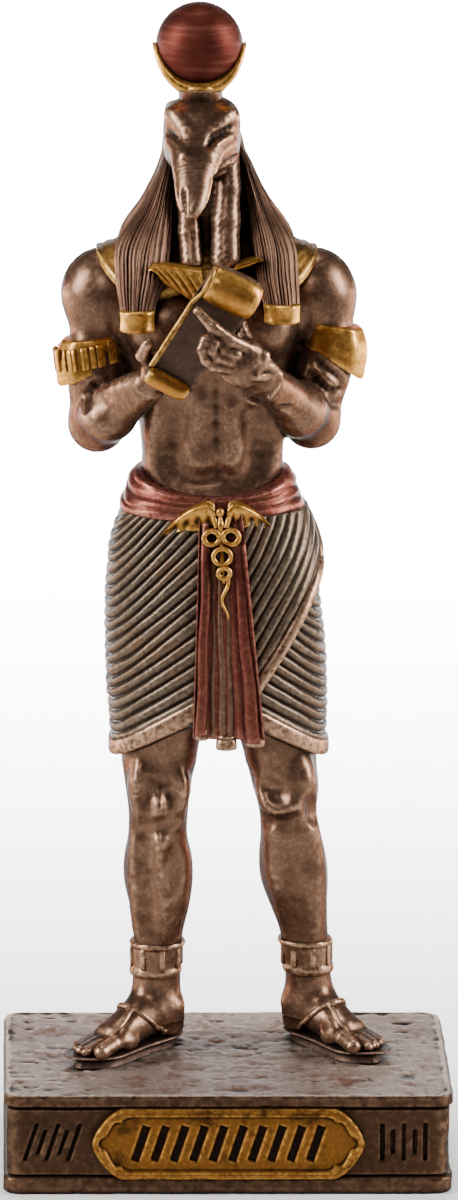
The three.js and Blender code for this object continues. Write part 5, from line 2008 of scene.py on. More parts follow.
@dataclass
class Body:
    """The bare trunk, both arms and both hands."""

    cell: float = 0.178
    trunk: Table = (
        (41.6, -1.2, 2.6, 5.4, 4.3), (43.0, -1.2, 2.6, 5.3, 4.1), (45.2, -1.22, 2.6, 5.4, 3.6),
        (47.2, -1.25, 2.6, 5.35, 3.4), (50.0, -1.3, 2.5, 5.7, 3.6), (53.0, -1.45, 2.4, 6.6, 4.1),
        (56.5, -1.6, 2.3, 7.4, 4.5), (59.5, -1.6, 2.5, 7.8, 4.2), (61.4, -1.65, 2.7, 6.4, 3.4),
        (62.7, -1.7, 2.6, 4.4, 2.8), (64.5, -1.75, 2.2, 2.8, 2.4),
    )
    left: Arm = field(default_factory=lambda: Arm(
        upper=((-9.3, 2.6, 59.2, 2.7), (-10.25, 1.6, 55.0, 1.8), (-9.95, 1.1, 49.4, 2.1)),
        wrist=(-6.2, -5.0, 53.6), deltoid=((-9.45, 2.6, 59.1), (3.3, 3.1, 3.5)),
        biceps=((-10.1, 1.1, 53.0), (1.9, 1.8, 2.4)),
        muscle=((-9.2, -0.8, 50.4), (2.1, 2.4, 2.0)),
    ))
    right: Arm = field(default_factory=lambda: Arm(
        upper=((6.9, 2.5, 58.6, 2.4), (7.55, 1.5, 55.6, 1.75), (6.2, 0.9, 49.7, 2.05)),
        wrist=(2.2, -7.4, 54.7), deltoid=((6.3, 2.6, 59.1), (3.25, 3.1, 3.5)),
        biceps=((7.2, 1.1, 53.6), (1.9, 1.8, 2.3)),
        muscle=((5.2, -1.4, 51.0), (2.1, 2.5, 2.1)),
    ))
    muscles: Sequence[Stroke] = (
        # The hollows beside the belly and the fold above the sash
        Stroke(((-3.92, 14.6), (-4.13, 12.58), (-4.44, 10.28)), 1.1, -0.3),
        Stroke(((1.83, 13.9), (2.11, 11.95), (1.9, 9.86)), 1.1, -0.36),
        Stroke(((-3.7, 9.3), (-2.04, 8.92), (-0.78, 9.13), (0.68, 9.03), (1.6, 9.55)), 0.6, -0.25),
        # The muscles of the belly and of the flanks
        Stroke(((-2.6, 14.6), (-2.87, 12.2), (-2.66, 9.9)), 1.3, 0.2),
        Stroke(((0.3, 14.2), (0.3, 12.2), (0.3, 9.9)), 1.1, 0.18),
        Stroke(((-5.4, 14.2), (-5.4, 11.95), (-5.0, 10.07)), 1.1, 0.22),
        Stroke(((3.25, 13.0), (3.25, 10.7)), 1.0, 0.22),
    )
    folds: Sequence[Stroke] = (
        # The middle line of the belly
        Stroke(((-0.99, 16.55), (-0.95, 13.42), (-0.78, 9.65)), 0.5, -0.12),
        # The folds inside the left elbow and the muscle of its forearm
        Stroke(((-10.82, 14.46), (-10.61, 15.4), (-9.98, 16.3)), 0.45, -0.35),
        Stroke(((-10.2, 15.6), (-8.52, 16.3), (-7.06, 16.97)), 0.8, 0.35),
        # The folds inside the right elbow, and faint folds along its forearm
        Stroke(((6.28, 17.07), (7.5, 15.9), (8.7, 16.1)), 0.3, -0.3),
        Stroke(((6.6, 18.1), (7.9, 17.2), (8.6, 16.5)), 0.3, -0.22),
        Stroke(((6.5, 16.4), (7.6, 15.2), (8.4, 14.9)), 0.4, -0.18),
        Stroke(((3.85, 14.64), (4.66, 14.54), (5.47, 14.03)), 0.3, -0.1),
        Stroke(((-0.11, 16.57), (1.21, 16.16)), 0.26, 0.12),
        Stroke(((0.3, 15.96), (1.82, 15.55)), 0.26, 0.12),
        Stroke(((0.81, 15.45), (2.02, 14.84)), 0.26, 0.12),
    )

    def build(self, bench: Bench) -> None:
        """Builds the trunk with the arms and hands.

        Args:
            bench: Where the pieces are made.
        """
        sight = bench.sight
        form = blend(0.7, self.trunk_form(), self.left.form(), self.right.form())
        form = sight.drawn(0.3, sight.drawn(1.1, form, self.muscles), self.folds)
        form = blend(0.3, form, self.near_hand(sight), self.far_hand())
        skin = surface(form, (-14.0, -11.5, 41.0), (11.0, 7.6, 65.2), self.cell)
        bench.piece("torso_arms_hands", skin, BRONZE)

    def trunk_form(self) -> Form:
        """The chest, belly and back."""
        muscles = [egg((-1.55 + side * 3.1, -0.7, 57.2), (3.1, 2.1, 2.6)) for side in (-1, 1)]
        for side in (-1, 1):
            muscles.append(egg((-1.6 + side * 3.4, 5.5, 57.6), (2.6, 1.5, 3.2), (0, side * 14, 0)))
            muscles.append(limb((-1.4 + side * 1.3, 5.3, 48.0), (-1.5 + side * 1.5, 5.9, 56.0), 0.9, 0.8))
        form = blend(0.9, stack(Rows(self.trunk)), *muscles)
        return notch(0.6, form, limb((-1.5, 7.15, 60.5), (-1.3, 6.9, 46.5), 0.45, 0.5))

    @staticmethod
    def near_hand(sight: Sight) -> Form:
        """Builds the hand that lies over the scroll: a straight first finger and three curled ones.

        Args:
            sight: The lines of sight that place the fingers.

        Returns:
            The form.
        """
        palm = egg((0.75, -8.75, 56.1), (1.8, 1.15, 1.9), (0, 35, 0))
        back = blend(0.4, palm, egg((2.2, -8.0, 55.2), (1.3, 1.0, 1.2)))
        index = ((1.4, 19.0, -9.2), (0.1, 19.65, -9.75), (-1.2, 20.65, -9.95), (-2.35, 21.9, -9.7))
        second = (
            (-0.9, 20.0, -9.9), (-1.75, 19.7, -10.1), (-2.02, 19.0, -10.1), (-1.75, 18.2, -10.0),
            (-1.1, 17.7, -9.8), (0.1, 17.5, -9.3),
        )
        third = (
            (-0.5, 19.6, -9.9), (-1.15, 19.4, -10.15), (-1.3, 18.9, -10.15), (-0.95, 18.35, -10.0),
            (0.1, 18.1, -9.6),
        )
        fourth = ((0.0, 19.25, -9.8), (-0.5, 19.1, -10.0), (-0.5, 18.85, -10.0), (0.5, 18.6, -9.7))
        fingers = [
            chain(sight.at(places), radii)
            for places, radii in (
                (index, (0.56, 0.52, 0.46, 0.36)), (second, (0.36, 0.42, 0.42, 0.42, 0.44, 0.5)),
                (third, (0.36, 0.4, 0.4, 0.4, 0.5)), (fourth, (0.34, 0.34, 0.34, 0.5)),
            )
        ]
        wraps = (
            ((2.0, 17.0, -9.6), (2.85, 18.6, -9.0)), ((2.1, 16.8, -9.5), (3.55, 17.05, -8.3)),
            ((2.6, 18.5, -9.1), (3.85, 17.05, -8.0)), ((1.9, 17.9, -9.6), (3.3, 17.6, -8.7)),
        )
        folds = [limb(*sight.at(wrap), 0.24, 0.26) for wrap in wraps]
        cuff = sight.at(((3.85, 16.77, -7.7), (3.54, 15.96, -8.0), (3.04, 15.3, -8.2)))
        thumb = chain(((0.9, -8.0, 57.7), (0.4, -7.4, 58.9), (-0.3, -7.2, 59.9)), (0.6, 0.55, 0.45))
        return blend(0.14, blend(0.25, back, *folds, chain(cuff, (0.22, 0.2, 0.16))), *fingers, thumb)

    @staticmethod
    def far_hand() -> Form:
        """The hand that carries the scroll from below."""
        palm = egg((-5.3, -6.0, 54.9), (1.5, 1.0, 1.6), (0, 30, 0))
        fingers = [
            chain(((-6.0, -6.1, 55.4), (-6.7, -6.9, 56.3), (-6.3, -7.4, 57.3)), (0.55, 0.5, 0.42)),
            chain(((-5.0, -6.3, 56.1), (-4.3, -6.9, 57.3), (-3.6, -7.3, 58.0)), (0.55, 0.5, 0.42)),
            chain(((-4.3, -6.3, 55.6), (-3.3, -6.9, 56.5), (-2.7, -7.2, 57.1)), (0.52, 0.48, 0.4)),
            chain(((-3.9, -6.2, 54.9), (-2.9, -6.8, 55.4), (-2.5, -7.2, 55.9)), (0.5, 0.45, 0.38)),
        ]
        return blend(0.2, palm, *fingers)


@dataclass
class ArmBand:
    """A hoop round the upper arm: it leans by degrees, and its outer side flares out and drops lower."""

    name: str
    centre: Point
    lean: float
    radius: float
    height: float
    flare: float
    ribs: int
    drop: float

    def build(self, bench: Bench) -> None:
        """Builds the hoop and its ribs.

        Args:
            bench: Where the pieces are made.
        """
        bench.piece(f"{self.name}_arm_band", self.hoop(), GOLD, crease=60)
        if self.ribs:
            bench.ribs(f"{self.name}_arm_band_ribs", self.rib_spots(), GOLD)

    def place(self, angle: Array | float, out: Array | float, up: Array | float) -> Array:
        """Gives points on the hoop.

        Args:
            angle: The angle round it.
            out: How far outside its radius.
            up: The share of its height from the middle, -0.5 to 0.5.

        Returns:
            The points.
        """
        outer = ((1 + np.sin(angle) * np.sign(self.lean)) / 2) ** 2
        fall = 0.5 - np.asarray(up)
        out = out + self.flare * outer * np.sin(fall * 2.2)
        flat = np.stack(np.broadcast_arrays(
            (self.radius + out) * np.sin(angle), -(self.radius - 0.2 + out) * np.cos(angle),
            up * self.height - self.drop * fall**2 * outer,
        ), -1)
        turned = np.array(Matrix.Rotation(math.radians(self.lean), 3, "Y"))
        return flat @ turned.T + np.array(self.centre)

    def hoop(self) -> Skin:
        """Builds the band with a rounded rim above and below."""
        profile = (
            (-1.3, -0.4), (-0.2, -0.46), (0.02, -0.5), (0.07, -0.48), (0.09, -0.44), (0.05, -0.38),
            (0.0, -0.3), (0.0, -0.25), (0.0, -0.12), (0.0, 0.0), (0.0, 0.12), (0.0, 0.25), (0.0, 0.3),
            (0.03, 0.38), (0.07, 0.44), (0.04, 0.48), (-0.02, 0.5), (-1.3, 0.5),
        )
        angles = full_turn(160)
        facet = 0.04 * np.cos(angles * 9)
        rings = np.array([self.place(angles, out + facet, up) for out, up in profile])
        return loft(np.moveaxis(rings, 0, 1), Ends.HOOP)

    def rib_spots(self) -> list[Sequence[Point]]:
        """Places the upright ribs on the band."""
        up = self.place(0.0, 0.0, 0.4) - self.place(0.0, 0.0, -0.4)
        spots = []
        for i in range(self.ribs):
            angle = 2 * math.pi * (i + 0.35 * math.sin(i * 2.4)) / self.ribs
            spot = self.place(angle, 0.02, 0.0)
            out = spot - self.place(angle, -1.0, 0.0)
            spots.append((spot, up, out, (0.42 + 0.12 * math.sin(i * 1.7), 0.3, self.height * 0.72)))
        return spots


@dataclass
class Scroll:
    """A sheet between a thick roll above and a thin one below."""

    upper: Sequence[Point] = ((-2.05, -8.7, 62.5), (1.85, -8.7, 60.6))
    upper_radius: float = 1.52
    lower: Sequence[Point] = ((-6.45, -7.7, 55.2), (-3.3, -7.7, 53.5))
    lower_radius: float = 0.72

    def build(self, bench: Bench) -> None:
        """Builds the rolls, their gilt fronts and the sheet.

        Args:
            bench: Where the pieces are made.
        """
        upper, lower = (self.upper, self.upper_radius), (self.lower, self.lower_radius)
        bench.piece("scroll_rolls", Skin.joined([self.roll(*upper), self.roll(*lower)]), BRONZE)
        fronts = [self.gilding(*upper, 76), self.gilding(*lower, 80)]
        bench.piece("scroll_gilding", Skin.joined(fronts), GOLD)
        # The sheet is painted darker than the rolls
        bench.piece("scroll_sheet", self.sheet(), BRONZE_DARK_AND_PAINTED_SHADE, crease=60)
        bench.cords("scroll_sheet_edge", [self.edge_path()], 12, 0.1, GOLD_WORN)

    @staticmethod
    def frame_of(line: Sequence[Point]) -> tuple[Array, Array, Array]:
        """Returns a roll's start, its axis and the direction across it."""
        start, end = np.array(line[0], float), np.array(line[1], float)
        axis = end - start
        across = np.cross(axis, (0, 1, 0))
        return start, axis, across / np.linalg.norm(across)

    def roll(self, line: Sequence[Point], radius: float) -> Skin:
        """Builds a roll with rounded ends.

        Args:
            line: The middles of its two ends.
            radius: Its radius.

        Returns:
            The skin.
        """
        start, axis, across = self.frame_of(line)
        end = ((0.0, 0.3), (0.01, 0.5), (0.035, 0.66), (0.08, 0.82), (0.14, 0.93), (0.2, 0.98), (0.35, 1.0))
        profile = [*end, (0.5, 1.0), *[(1 - share, size) for share, size in reversed(end)]]
        angles = full_turn(96)
        circle = np.outer(np.cos(angles), across) + np.outer(np.sin(angles), (0, 1, 0))
        rings = [start + axis * share + radius * size * circle for share, size in profile]
        return loft(rings, Ends.FAN, (start, start + axis))

    def gilding(self, line: Sequence[Point], radius: float, half_angle: float) -> Skin:
        """Builds the gilt field on a roll's front, a little proud of it.

        Args:
            line: The middles of the roll's two ends.
            radius: The roll's radius.
            half_angle: How far the field reaches round the roll from the front, in degrees.

        Returns:
            The skin.
        """
        start, axis, across = self.frame_of(line)
        angles = np.radians(np.linspace(-half_angle, half_angle, 40)) + math.radians(-8)
        out = np.outer(np.sin(angles), across) - np.outer(np.cos(angles), (0, 1, 0))
        edge = np.clip((1 - np.abs(np.linspace(-1, 1, 40))) / 0.1, 0, 1) ** 0.5
        first, last = 0.05, 0.96
        rings = []
        for share in np.linspace(first, last, 40):
            size = 1 - 0.3 * abs(share * 2 - 1) ** 5
            end = min((0.455 - abs(share - 0.505)) / 0.06, 1) ** 0.5 if first < share < last else 0.0
            outer = radius * (size + 0.035 * edge * end)
            middle = start + axis * share
            rings.append(np.concatenate([middle + out * outer[:, None], (middle + out * radius * 0.6)[::-1]]))
        return loft(rings, Ends.LADDER)

    def corners(self, share: float, back: float) -> tuple[Array, Array]:
        """Returns the sheet's left and right edge points at a share of its length."""
        upper, lower = np.array(self.upper, float), np.array(self.lower, float)
        left, right = (mix(upper[i], lower[i], share) + (0, back, 0) for i in (0, 1))
        return left, right

    def sheet(self) -> Skin:
        """Builds the sheet, hollowed a little between its rolls."""
        across = np.linspace(0, 1, 30)
        rings = []
        for share in np.linspace(0, 1, 60):
            hollow = 0.12 * math.sin(math.pi * share)
            left, right = self.corners(share, 0.1 + hollow)
            front = mix(left, right, across[:, None])
            front[:, 1] -= 0.1 * np.abs(across * 2 - 1) ** 6
            rings.append(np.concatenate([front, (front + (0, 0.5, 0))[::-1]]))
        return loft(rings, Ends.LADDER)

    def edge_path(self) -> Array:
        """Lays the pale line round the upper roll's left end and down the sheet's left edge."""
        start, axis, across = self.frame_of(self.upper)
        turn = np.radians(np.linspace(65, -60, 10))[:, None]
        out = np.sin(turn) * across - np.cos(turn) * (0, 1, 0)
        rim = start + axis * 0.04 + self.upper_radius * 0.8 * out
        sheet = [mix(*self.corners(share, 0.1), 0.03) for share in np.linspace(0.24, 0.93, 12)]
        path = np.vstack([rim, sheet])
        return smooth_path(np.column_stack([path, np.linspace(0.18, 0.26, len(path))]), 90)


# Collar, wig and head


@dataclass
class Collar:
    """The broad collar and the winged pectoral under it."""

    neck: tuple[float, float] = (-1.75, 2.6)

    def build(self, bench: Bench) -> None:
        """Builds the collar and the pectoral.

        Args:
            bench: Where the pieces are made.
        """
        bench.piece("broad_collar", self.collar(), GOLD_WORN, crease=60)
        bench.piece("winged_pectoral", Skin.joined([self.wing(-1), self.wing(1)]), GOLD, crease=60)

    def collar(self) -> Skin:
        """Builds the collar with its rows and its raised hem."""
        angle = full_turn(240)
        s, c = np.sin(angle), np.cos(angle)
        side, front = np.abs(s), c > 0
        nx, ny = self.neck
        depth = np.where(front, 5.6, 4.9)
        before = mix(58.7, 62.4, side**2.6) + 2.9 * np.exp(-((side / 0.45) ** 2))
        hem = np.column_stack([
            nx + 8.35 * np.sign(s) * side**0.8, ny - depth * np.sign(c) * np.abs(c) ** 0.8,
            np.where(front, before, mix(60.4, 62.4, side**1.5)),
        ])
        root = oval(angle, nx, ny, 3.0, 3.0, 64.1)
        middle = mix(root, hem, 0.6)
        middle[:, 2] = mix(64.1, hem[:, 2], 0.5) + 0.1
        # The middle control points of the curves from the neck to the hem that pass through the middle
        pull = middle * 2 - (root + hem) / 2
        rings = []
        for share in np.linspace(0, 1, 40):
            lower, upper = (1 - share) ** 2, share**2
            ring = root * lower + pull * (2 * share * (1 - share)) + (hem + (0, 0, 0.2)) * upper
            ring[:, 2] += 0.05 * math.cos(share * 2 * math.pi * 5) + 0.07 * (share > 0.95)
            rings.append(ring)
        under = mix(np.array([nx, ny, 0.0]), hem, 0.7)
        under[:, 2] = hem[:, 2] - 1.4
        rings += [hem + (0, 0, -0.1), hem + (0, 0, -0.34), under, oval(angle, nx, ny, 1.0, 1.0, 62.5)]
        return loft(rings, Ends.HOOP)

    def wing(self, side: int) -> Skin:
        """Builds one wing of the pectoral with its feathers.

        Args:
            side: -1 for the left wing, 1 for the right one.

        Returns:
            The skin.
        """
        root = np.array([-2.0, -3.7, 60.6] if side < 0 else [0.1, -3.5, 62.2])
        tip = np.array([-6.0, -3.3, 62.1] if side < 0 else [2.0, -3.3, 62.8])
        across = np.linspace(1, -1, 22)
        rim = 0.16 * np.exp(-(((np.abs(across) - 0.9) / 0.12) ** 2))
        rings = []
        for share in np.linspace(0, 1, 50):
            blunt = min((1 - share) / 0.14, 1) ** 0.5 + 0.03
            half = (1.55 - 0.95 * share if side < 0 else 0.26) * blunt
            centre = mix(root, tip, share)
            feather = 0.16 * np.abs(np.sin(math.pi * (share * 5 - across * 0.9))) ** 0.6
            feather = feather * (np.abs(across) < 0.8) * (side < 0)
            proud = 0.25 + 0.25 * (1 - across**2) + rim + feather
            front = centre + np.column_stack([side * 0.3 * across, -proud, half * across])
            rings.append(slab_ring(front, centre[1] + 1.5))
        return loft(rings, Ends.LADDER)


@dataclass
class Wig:
    """The long hair: the fall behind, and two lappets before the shoulders with gilt caps."""

    # The fall's sections, and each lappet's height, outer x, inner x and front y
    rows: Table = (
        (74.0, -2.2, 1.4, 1.2, 1.2), (73.2, -2.2, 1.5, 2.2, 2.3), (71.5, -2.15, 1.8, 2.85, 3.0),
        (69.5, -2.0, 2.1, 3.3, 3.1), (66.6, -1.85, 2.7, 4.7, 3.1), (63.9, -1.8, 3.3, 6.4, 3.2),
        (61.5, -1.8, 4.0, 6.6, 3.0), (58.0, -1.75, 4.9, 5.6, 2.5),
    )
    left: Table = (
        (71.5, -4.7, -3.9, 0.4), (69.5, -5.3, -4.3, -0.2), (66.5, -6.7, -4.4, -1.2), (63.8, -8.6, -4.5, -2.7),
        (61.5, -8.7, -4.8, -3.8), (59.0, -8.35, -5.7, -4.4), (57.4, -8.35, -5.7, -4.3),
    )
    right: Table = (
        (71.5, 0.0, 0.7, 0.4), (69.5, 0.7, 1.6, -0.2), (66.5, 1.15, 3.1, -1.2), (63.8, 1.5, 4.7, -2.7),
        (61.5, 1.9, 5.0, -3.8), (59.5, 2.35, 5.1, -4.4), (58.1, 2.4, 5.1, -4.3),
    )
    strands: int = 60
    lappet_strands: float = 11.0
    strand_depth: float = 0.13

    def build(self, bench: Bench) -> None:
        """Builds the hair and the caps.

        Args:
            bench: Where the pieces are made.
        """
        bench.piece("wig_back", self.fall(), BRONZE_HAIR)
        lappets = [self.lappet(self.left, 0.8, False), self.lappet(self.right, -0.8, False)]
        bench.piece("wig_lappets", Skin.joined(lappets), BRONZE_HAIR)
        caps = [self.lappet(self.left, 0.8, True), self.lappet(self.right, -0.8, True)]
        bench.piece("lappet_caps", Skin.joined(caps), GOLD, crease=60)

    def strand(self, phase: Array) -> Array:
        """Returns how far the hair stands out at a phase across its strands."""
        lock = np.abs(np.sin(math.pi * phase)) ** 0.5
        bundle = np.abs(np.sin(math.pi * phase / 3.3 + 0.4)) ** 0.6
        return self.strand_depth * (1.5 * lock + 1.3 * bundle - 2.0)

    def fall(self) -> Skin:
        """Builds the hair over the skull and down the back."""
        angle = full_turn(360)
        rings = []
        for z in np.linspace(73.7, 58.0, 72):
            x, y, width, depth = Rows(self.rows).at(z)
            places = np.column_stack([np.cos(angle) * 5 + 9, np.sin(angle) * 5 + z * 0.16])
            drift = 0.6 * mottle(places, 1.0, 51)
            lock = self.strand(angle / (2 * math.pi) * self.strands + drift) * min(1.0, (74.2 - z) / 2)
            rings.append(oval(angle, x, y, width + lock, depth + lock, z))
        return loft(rings, Ends.FAN, ((-2.2, 1.5, 74.1), (-1.75, 4.9, 58.0)))

    def lappet(self, rows: Table, inward: float, cap: bool) -> Skin:
        """Builds a lappet or the cap at its foot.

        Args:
            rows: Height, outer x, inner x and front y.
            inward: How far its hidden back leans in.
            cap: True for the cap.

        Returns:
            The skin.
        """
        cap_top, foot = rows[-2][0], rows[-1][0]
        if cap:
            rise = np.array([0.0, 0.03, 0.1, 0.2, 0.5, 0.8, 0.9, 0.97, 1.0])
            heights = mix(cap_top + 0.12, foot, rise)
            prouds = (0.0, 0.2, 0.3, 0.24, 0.2, 0.24, 0.3, 0.22, 0.0)
        else:
            heights = np.linspace(71.9, cap_top - 0.1, 66)
            prouds = np.zeros(len(heights))
        share = np.linspace(0, 1, 94)
        curve = 0.9 * np.abs(share * 2 - 1) ** 3
        rings = []
        for z, proud in zip(heights, prouds):
            left, right, y = Rows(rows).at(z)
            spread = proud * 0.35 - 0.1 if cap else 0.0
            drift = 0.6 * level_mottle(share * 5, z * 0.16, 1.0, 52)
            lock = -0.12 - proud if cap else -self.strand(share * self.lappet_strands + drift)
            across = mix(left - spread, right + spread, share)
            front = np.column_stack([across, y + curve + lock, np.full(len(share), z)])
            back = front[::-1].copy()
            back[:, 0] = mix((left + right) / 2, back[:, 0], 0.86) + (inward if z > 63 else 0.0)
            back[:, 1] = max(y + 2.3, 2.2) if z > 62 else y + 2.3
            rings.append(np.concatenate([front, back]))
        return loft(rings, Ends.LADDER)


@dataclass
class Head:
    """The ibis head: a low skull with heavy brows and a long bill that curves down."""

    head_cell: float = 0.103
    neck_cell: float = 0.155
    bill: Table = (
        (-2.35, -0.6, 72.0, 2.5, 2.1), (-2.42, -1.6, 71.5, 2.4, 1.9), (-2.7, -3.3, 70.5, 1.95, 1.35),
        (-2.92, -4.7, 69.25, 1.48, 1.05), (-3.0, -5.5, 68.3, 1.3, 0.92), (-3.08, -6.05, 67.7, 1.08, 0.78),
        (-3.13, -6.45, 67.25, 0.8, 0.62), (-3.18, -6.65, 67.0, 0.5, 0.46),
    )
    strokes: Sequence[Stroke] = (
        # The brows
        Stroke(((-4.6, 37.5), (-3.84, 36.46), (-2.99, 35.5)), 0.75, 0.15),
        Stroke(((0.45, 37.2), (-0.44, 36.35), (-1.63, 35.3)), 0.75, 0.17),
        # The eyes
        Stroke(((-1.6, 34.3), (-1.21, 35.0), (-0.44, 35.42), (0.3, 35.95)), 0.34, -0.22),
        Stroke(((-4.65, 35.5), (-4.26, 35.27), (-3.65, 34.7)), 0.28, -0.13),
        Stroke(((-1.05, 34.35), (-0.4, 34.85), (0.25, 35.2)), 0.22, 0.12),
        # The corner of the jaw
        Stroke(((-0.75, 32.7), (0.06, 33.32), (0.6, 33.6)), 0.22, -0.18),
        Stroke(((-1.15, 32.0), (-0.28, 32.47), (0.7, 32.85)), 0.22, -0.16),
        # The groove of the bill
        Stroke(((-3.45, 31.1), (-3.42, 30.18), (-3.3, 28.9)), 0.16, -0.14),
    )

    def build(self, bench: Bench) -> None:
        """Builds the head with the neck.

        Args:
            bench: Where the pieces are made.
        """
        face = bench.sight.drawn(0.16, self.head_form(), self.strokes)
        head = surface(face, (-6.2, -8.2, 65.6), (1.6, 4.2, 75.6), self.head_cell)
        bench.piece("ibis_head", head, BRONZE)
        neck = surface(self.neck_form(), (-6.6, -4.6, 59.4), (2.8, 6.0, 72.2), self.neck_cell)
        bench.piece("neck", neck, BRONZE)

    def bill_form(self) -> Form:
        """The bill as a tube with oval sections along its curve."""
        path = smooth_path(self.bill, 40)
        spine, widths, depths = path[:, :3], path[:, 3], path[:, 4]
        forward = np.gradient(spine, axis=0)
        forward /= np.linalg.norm(forward, axis=1)[:, None]
        across = np.tile([0.97, -0.2, 0.0], (len(spine), 1))
        across -= (across * forward).sum(1)[:, None] * forward
        across /= np.linalg.norm(across, axis=1)[:, None]
        upward = np.cross(across, forward)

        def value(points: Array) -> Array:
            """Returns the distance to the nearest of the sections."""
            best = np.full(len(points), np.inf)
            for i in range(len(spine)):
                gap = points - spine[i]
                u, v, w = gap @ across[i], gap @ upward[i], gap @ forward[i]
                size = min(widths[i], depths[i])
                oval = (np.sqrt((u / widths[i]) ** 2 + (v / depths[i]) ** 2 + (w / size) ** 2) - 1) * size
                best = np.minimum(best, oval)
            return best

        return near(value, np.array([-2.9, -3.9, 69.6]), 4.6)

    def head_form(self) -> Form:
        """The skull and the bill, before the face's lines."""
        skull = [
            egg((-2.2, 0.2, 72.0), (2.75, 2.9, 2.75)), egg((-2.25, -0.6, 70.6), (2.75, 2.4, 2.2)),
            self.bill_form(), egg((-3.55, -0.5, 73.1), (1.35, 1.6, 1.2)),
            egg((-0.85, -0.5, 73.1), (1.35, 1.6, 1.2)), egg((-2.2, -0.3, 73.6), (1.9, 1.6, 1.0)),
        ]
        brows = []
        for side in (-1, 1):
            brows.append(limb((-2.4 + side * 0.85, -2.4, 72.3), (-2.3 + side * 2.2, -1.25, 73.3), 0.45, 0.5))
            brows.append(limb((-2.7 + side * 0.9, -4.1, 70.8), (-2.35 + side * 2.0, -1.8, 71.4), 0.35, 0.45))
        return blend(0.5, blend(0.8, *skull), *brows)

    @staticmethod
    def neck_form() -> Form:
        """The neck: two feathered columns and the nape."""
        left = ((-3.35, 0.3, 70.0), (-3.2, -0.5, 66.6), (-3.15, -1.5, 64.6), (-2.95, -2.3, 62.5))
        right = ((-0.5, 0.3, 70.0), (-0.27, -0.6, 67.9), (-0.42, -1.4, 65.4), (-0.5, -2.3, 62.7))
        pair = chain(left, (1.4, 0.9, 0.8, 0.88), 0.4), chain(right, (1.2, 0.9, 1.04, 1.15), 0.4)
        nape = limb((-2.0, 1.6, 70.5), (-1.75, 1.8, 62), 2.3, 3.5)
        parting = -1.95

        def feathers(points: Array) -> Array:
            """Returns how far the feathers stand out: slanting rows broken into lumps, more on the left."""
            x, z = points[:, 0], points[:, 2]
            row = (z - 0.7 * (x - parting)) / 0.5 + 0.5 * mottle(points[:, [0, 2]], 0.9, 61)
            lumps = mottle(points[:, [0, 2]] * (1.0, 0.8), 0.75, 62) * np.where(x < parting, 1.0, 0.35)
            return 0.04 * np.abs(np.sin(math.pi * row)) ** 0.7 + 0.08 * lumps - 0.04

        columns = above(blend(0.35, *pair), 62.2)
        return above(textured(blend(0.2, columns, above(nape, 61.0)), feathers), 59.8)


@dataclass
class Crown:
    """A red disc held in a gilt crescent on a short foot."""

    centre: Point = (-2.45, 0.0, 78.5)
    radius: float = 3.27
    # How far the crescent reaches round the disc from its base, in degrees
    reach: float = 93.0
    # The middle of the crescent's base, the height of its lip, and half the width that the lip spans
    base_middle: float = -2.4
    base_height: float = 75.74
    base_half: float = 1.72

    def build(self, bench: Bench) -> None:
        """Builds the disc, the crescent, its rim and the foot.

        Args:
            bench: Where the pieces are made.
        """
        bench.piece("sun_disc", self.disc(), RED_BRUSHED)
        bench.piece("crescent", self.crescent(), GOLD, crease=50)
        foot = surface(self.foot_form(), (-5.2, -3.0, 73.2), (0.6, 3.0, 76.9), 0.12)
        bench.piece("crown_foot", foot, BRONZE)
        bench.cords("crown_rim", [self.rim_path()], 12, 0.06, GOLD)

    def disc(self) -> Skin:
        """Builds the ball of the disc."""
        angle = full_turn(128)
        rings = []
        for tilt in np.radians(np.linspace(-89, 89, 64)):
            wide = self.radius * math.cos(tilt)
            rings.append(oval(angle, 0, 0, wide, -wide, self.radius * math.sin(tilt)) + self.centre)
        poles = [np.array(self.centre) + (0, 0, sign * self.radius) for sign in (-1, 1)]
        return loft(rings, Ends.FAN, poles)

    def crescent(self) -> Skin:
        """Builds the crescent: deep at the bottom and pointed at its two tips."""
        angle = full_turn(48)
        over, side = np.cos(angle), np.sin(angle)
        square = np.sign(over) * np.abs(over) ** 0.75
        rings = []
        for turn in np.radians(np.linspace(-self.reach, self.reach, 120)):
            share = max(math.cos(turn / math.radians(self.reach) * math.pi / 2), 0.0)
            outer = self.radius + 0.08 + 0.38 * share**2 + 0.2 * (1 - share) ** 4
            inner = self.radius - 0.05 - 0.95 * share**0.6
            deep = 0.5 + 2.15 * share**0.55
            middle = (outer + inner) / 2
            reach = np.abs(np.where(over > 0, outer, inner) - middle)
            ring = self.centre + np.outer(middle + reach * square, (math.sin(turn), 0, -math.cos(turn)))
            ring[:, 1] += deep * np.sign(side) * np.abs(side) ** 0.6
            off = np.minimum(np.abs(ring[:, 0] - self.base_middle) / self.base_half, 1.3)
            ring[:, 2] = np.maximum(ring[:, 2], self.base_height - 0.5 * off**2)
            rings.append(ring)
        return loft(rings)

    @staticmethod
    def foot_form() -> Form:
        """The foot under the crescent, narrowing towards the head."""
        return stack(Rows((
            (76.2, -2.38, 0, 1.5, 1.8), (75.6, -2.38, 0, 1.75, 2.55), (75.2, -2.36, 0, 1.72, 2.4),
            (74.8, -2.35, 0, 1.66, 2.1), (74.4, -2.3, 0, 1.72, 1.8), (73.6, -2.25, 0, 2.0, 1.9),
        )))

    def rim_path(self) -> Array:
        """Lays the bright lip at the crescent's base, rising to the middle."""
        half = (
            (1.75, 0.4, 75.25, 0.14), (1.72, -0.9, 75.35, 0.17), (1.25, -2.0, 75.5, 0.17),
            (0.6, -2.58, 75.66, 0.17),
        )
        middle = self.base_middle
        left = [(middle - out, y, z, radius) for out, y, z, radius in half]
        right = [(middle + out, y, z, radius) for out, y, z, radius in half[::-1]]
        return smooth_path([*left, (middle, -2.74, 75.72, 0.17), *right], 80)


# Stage


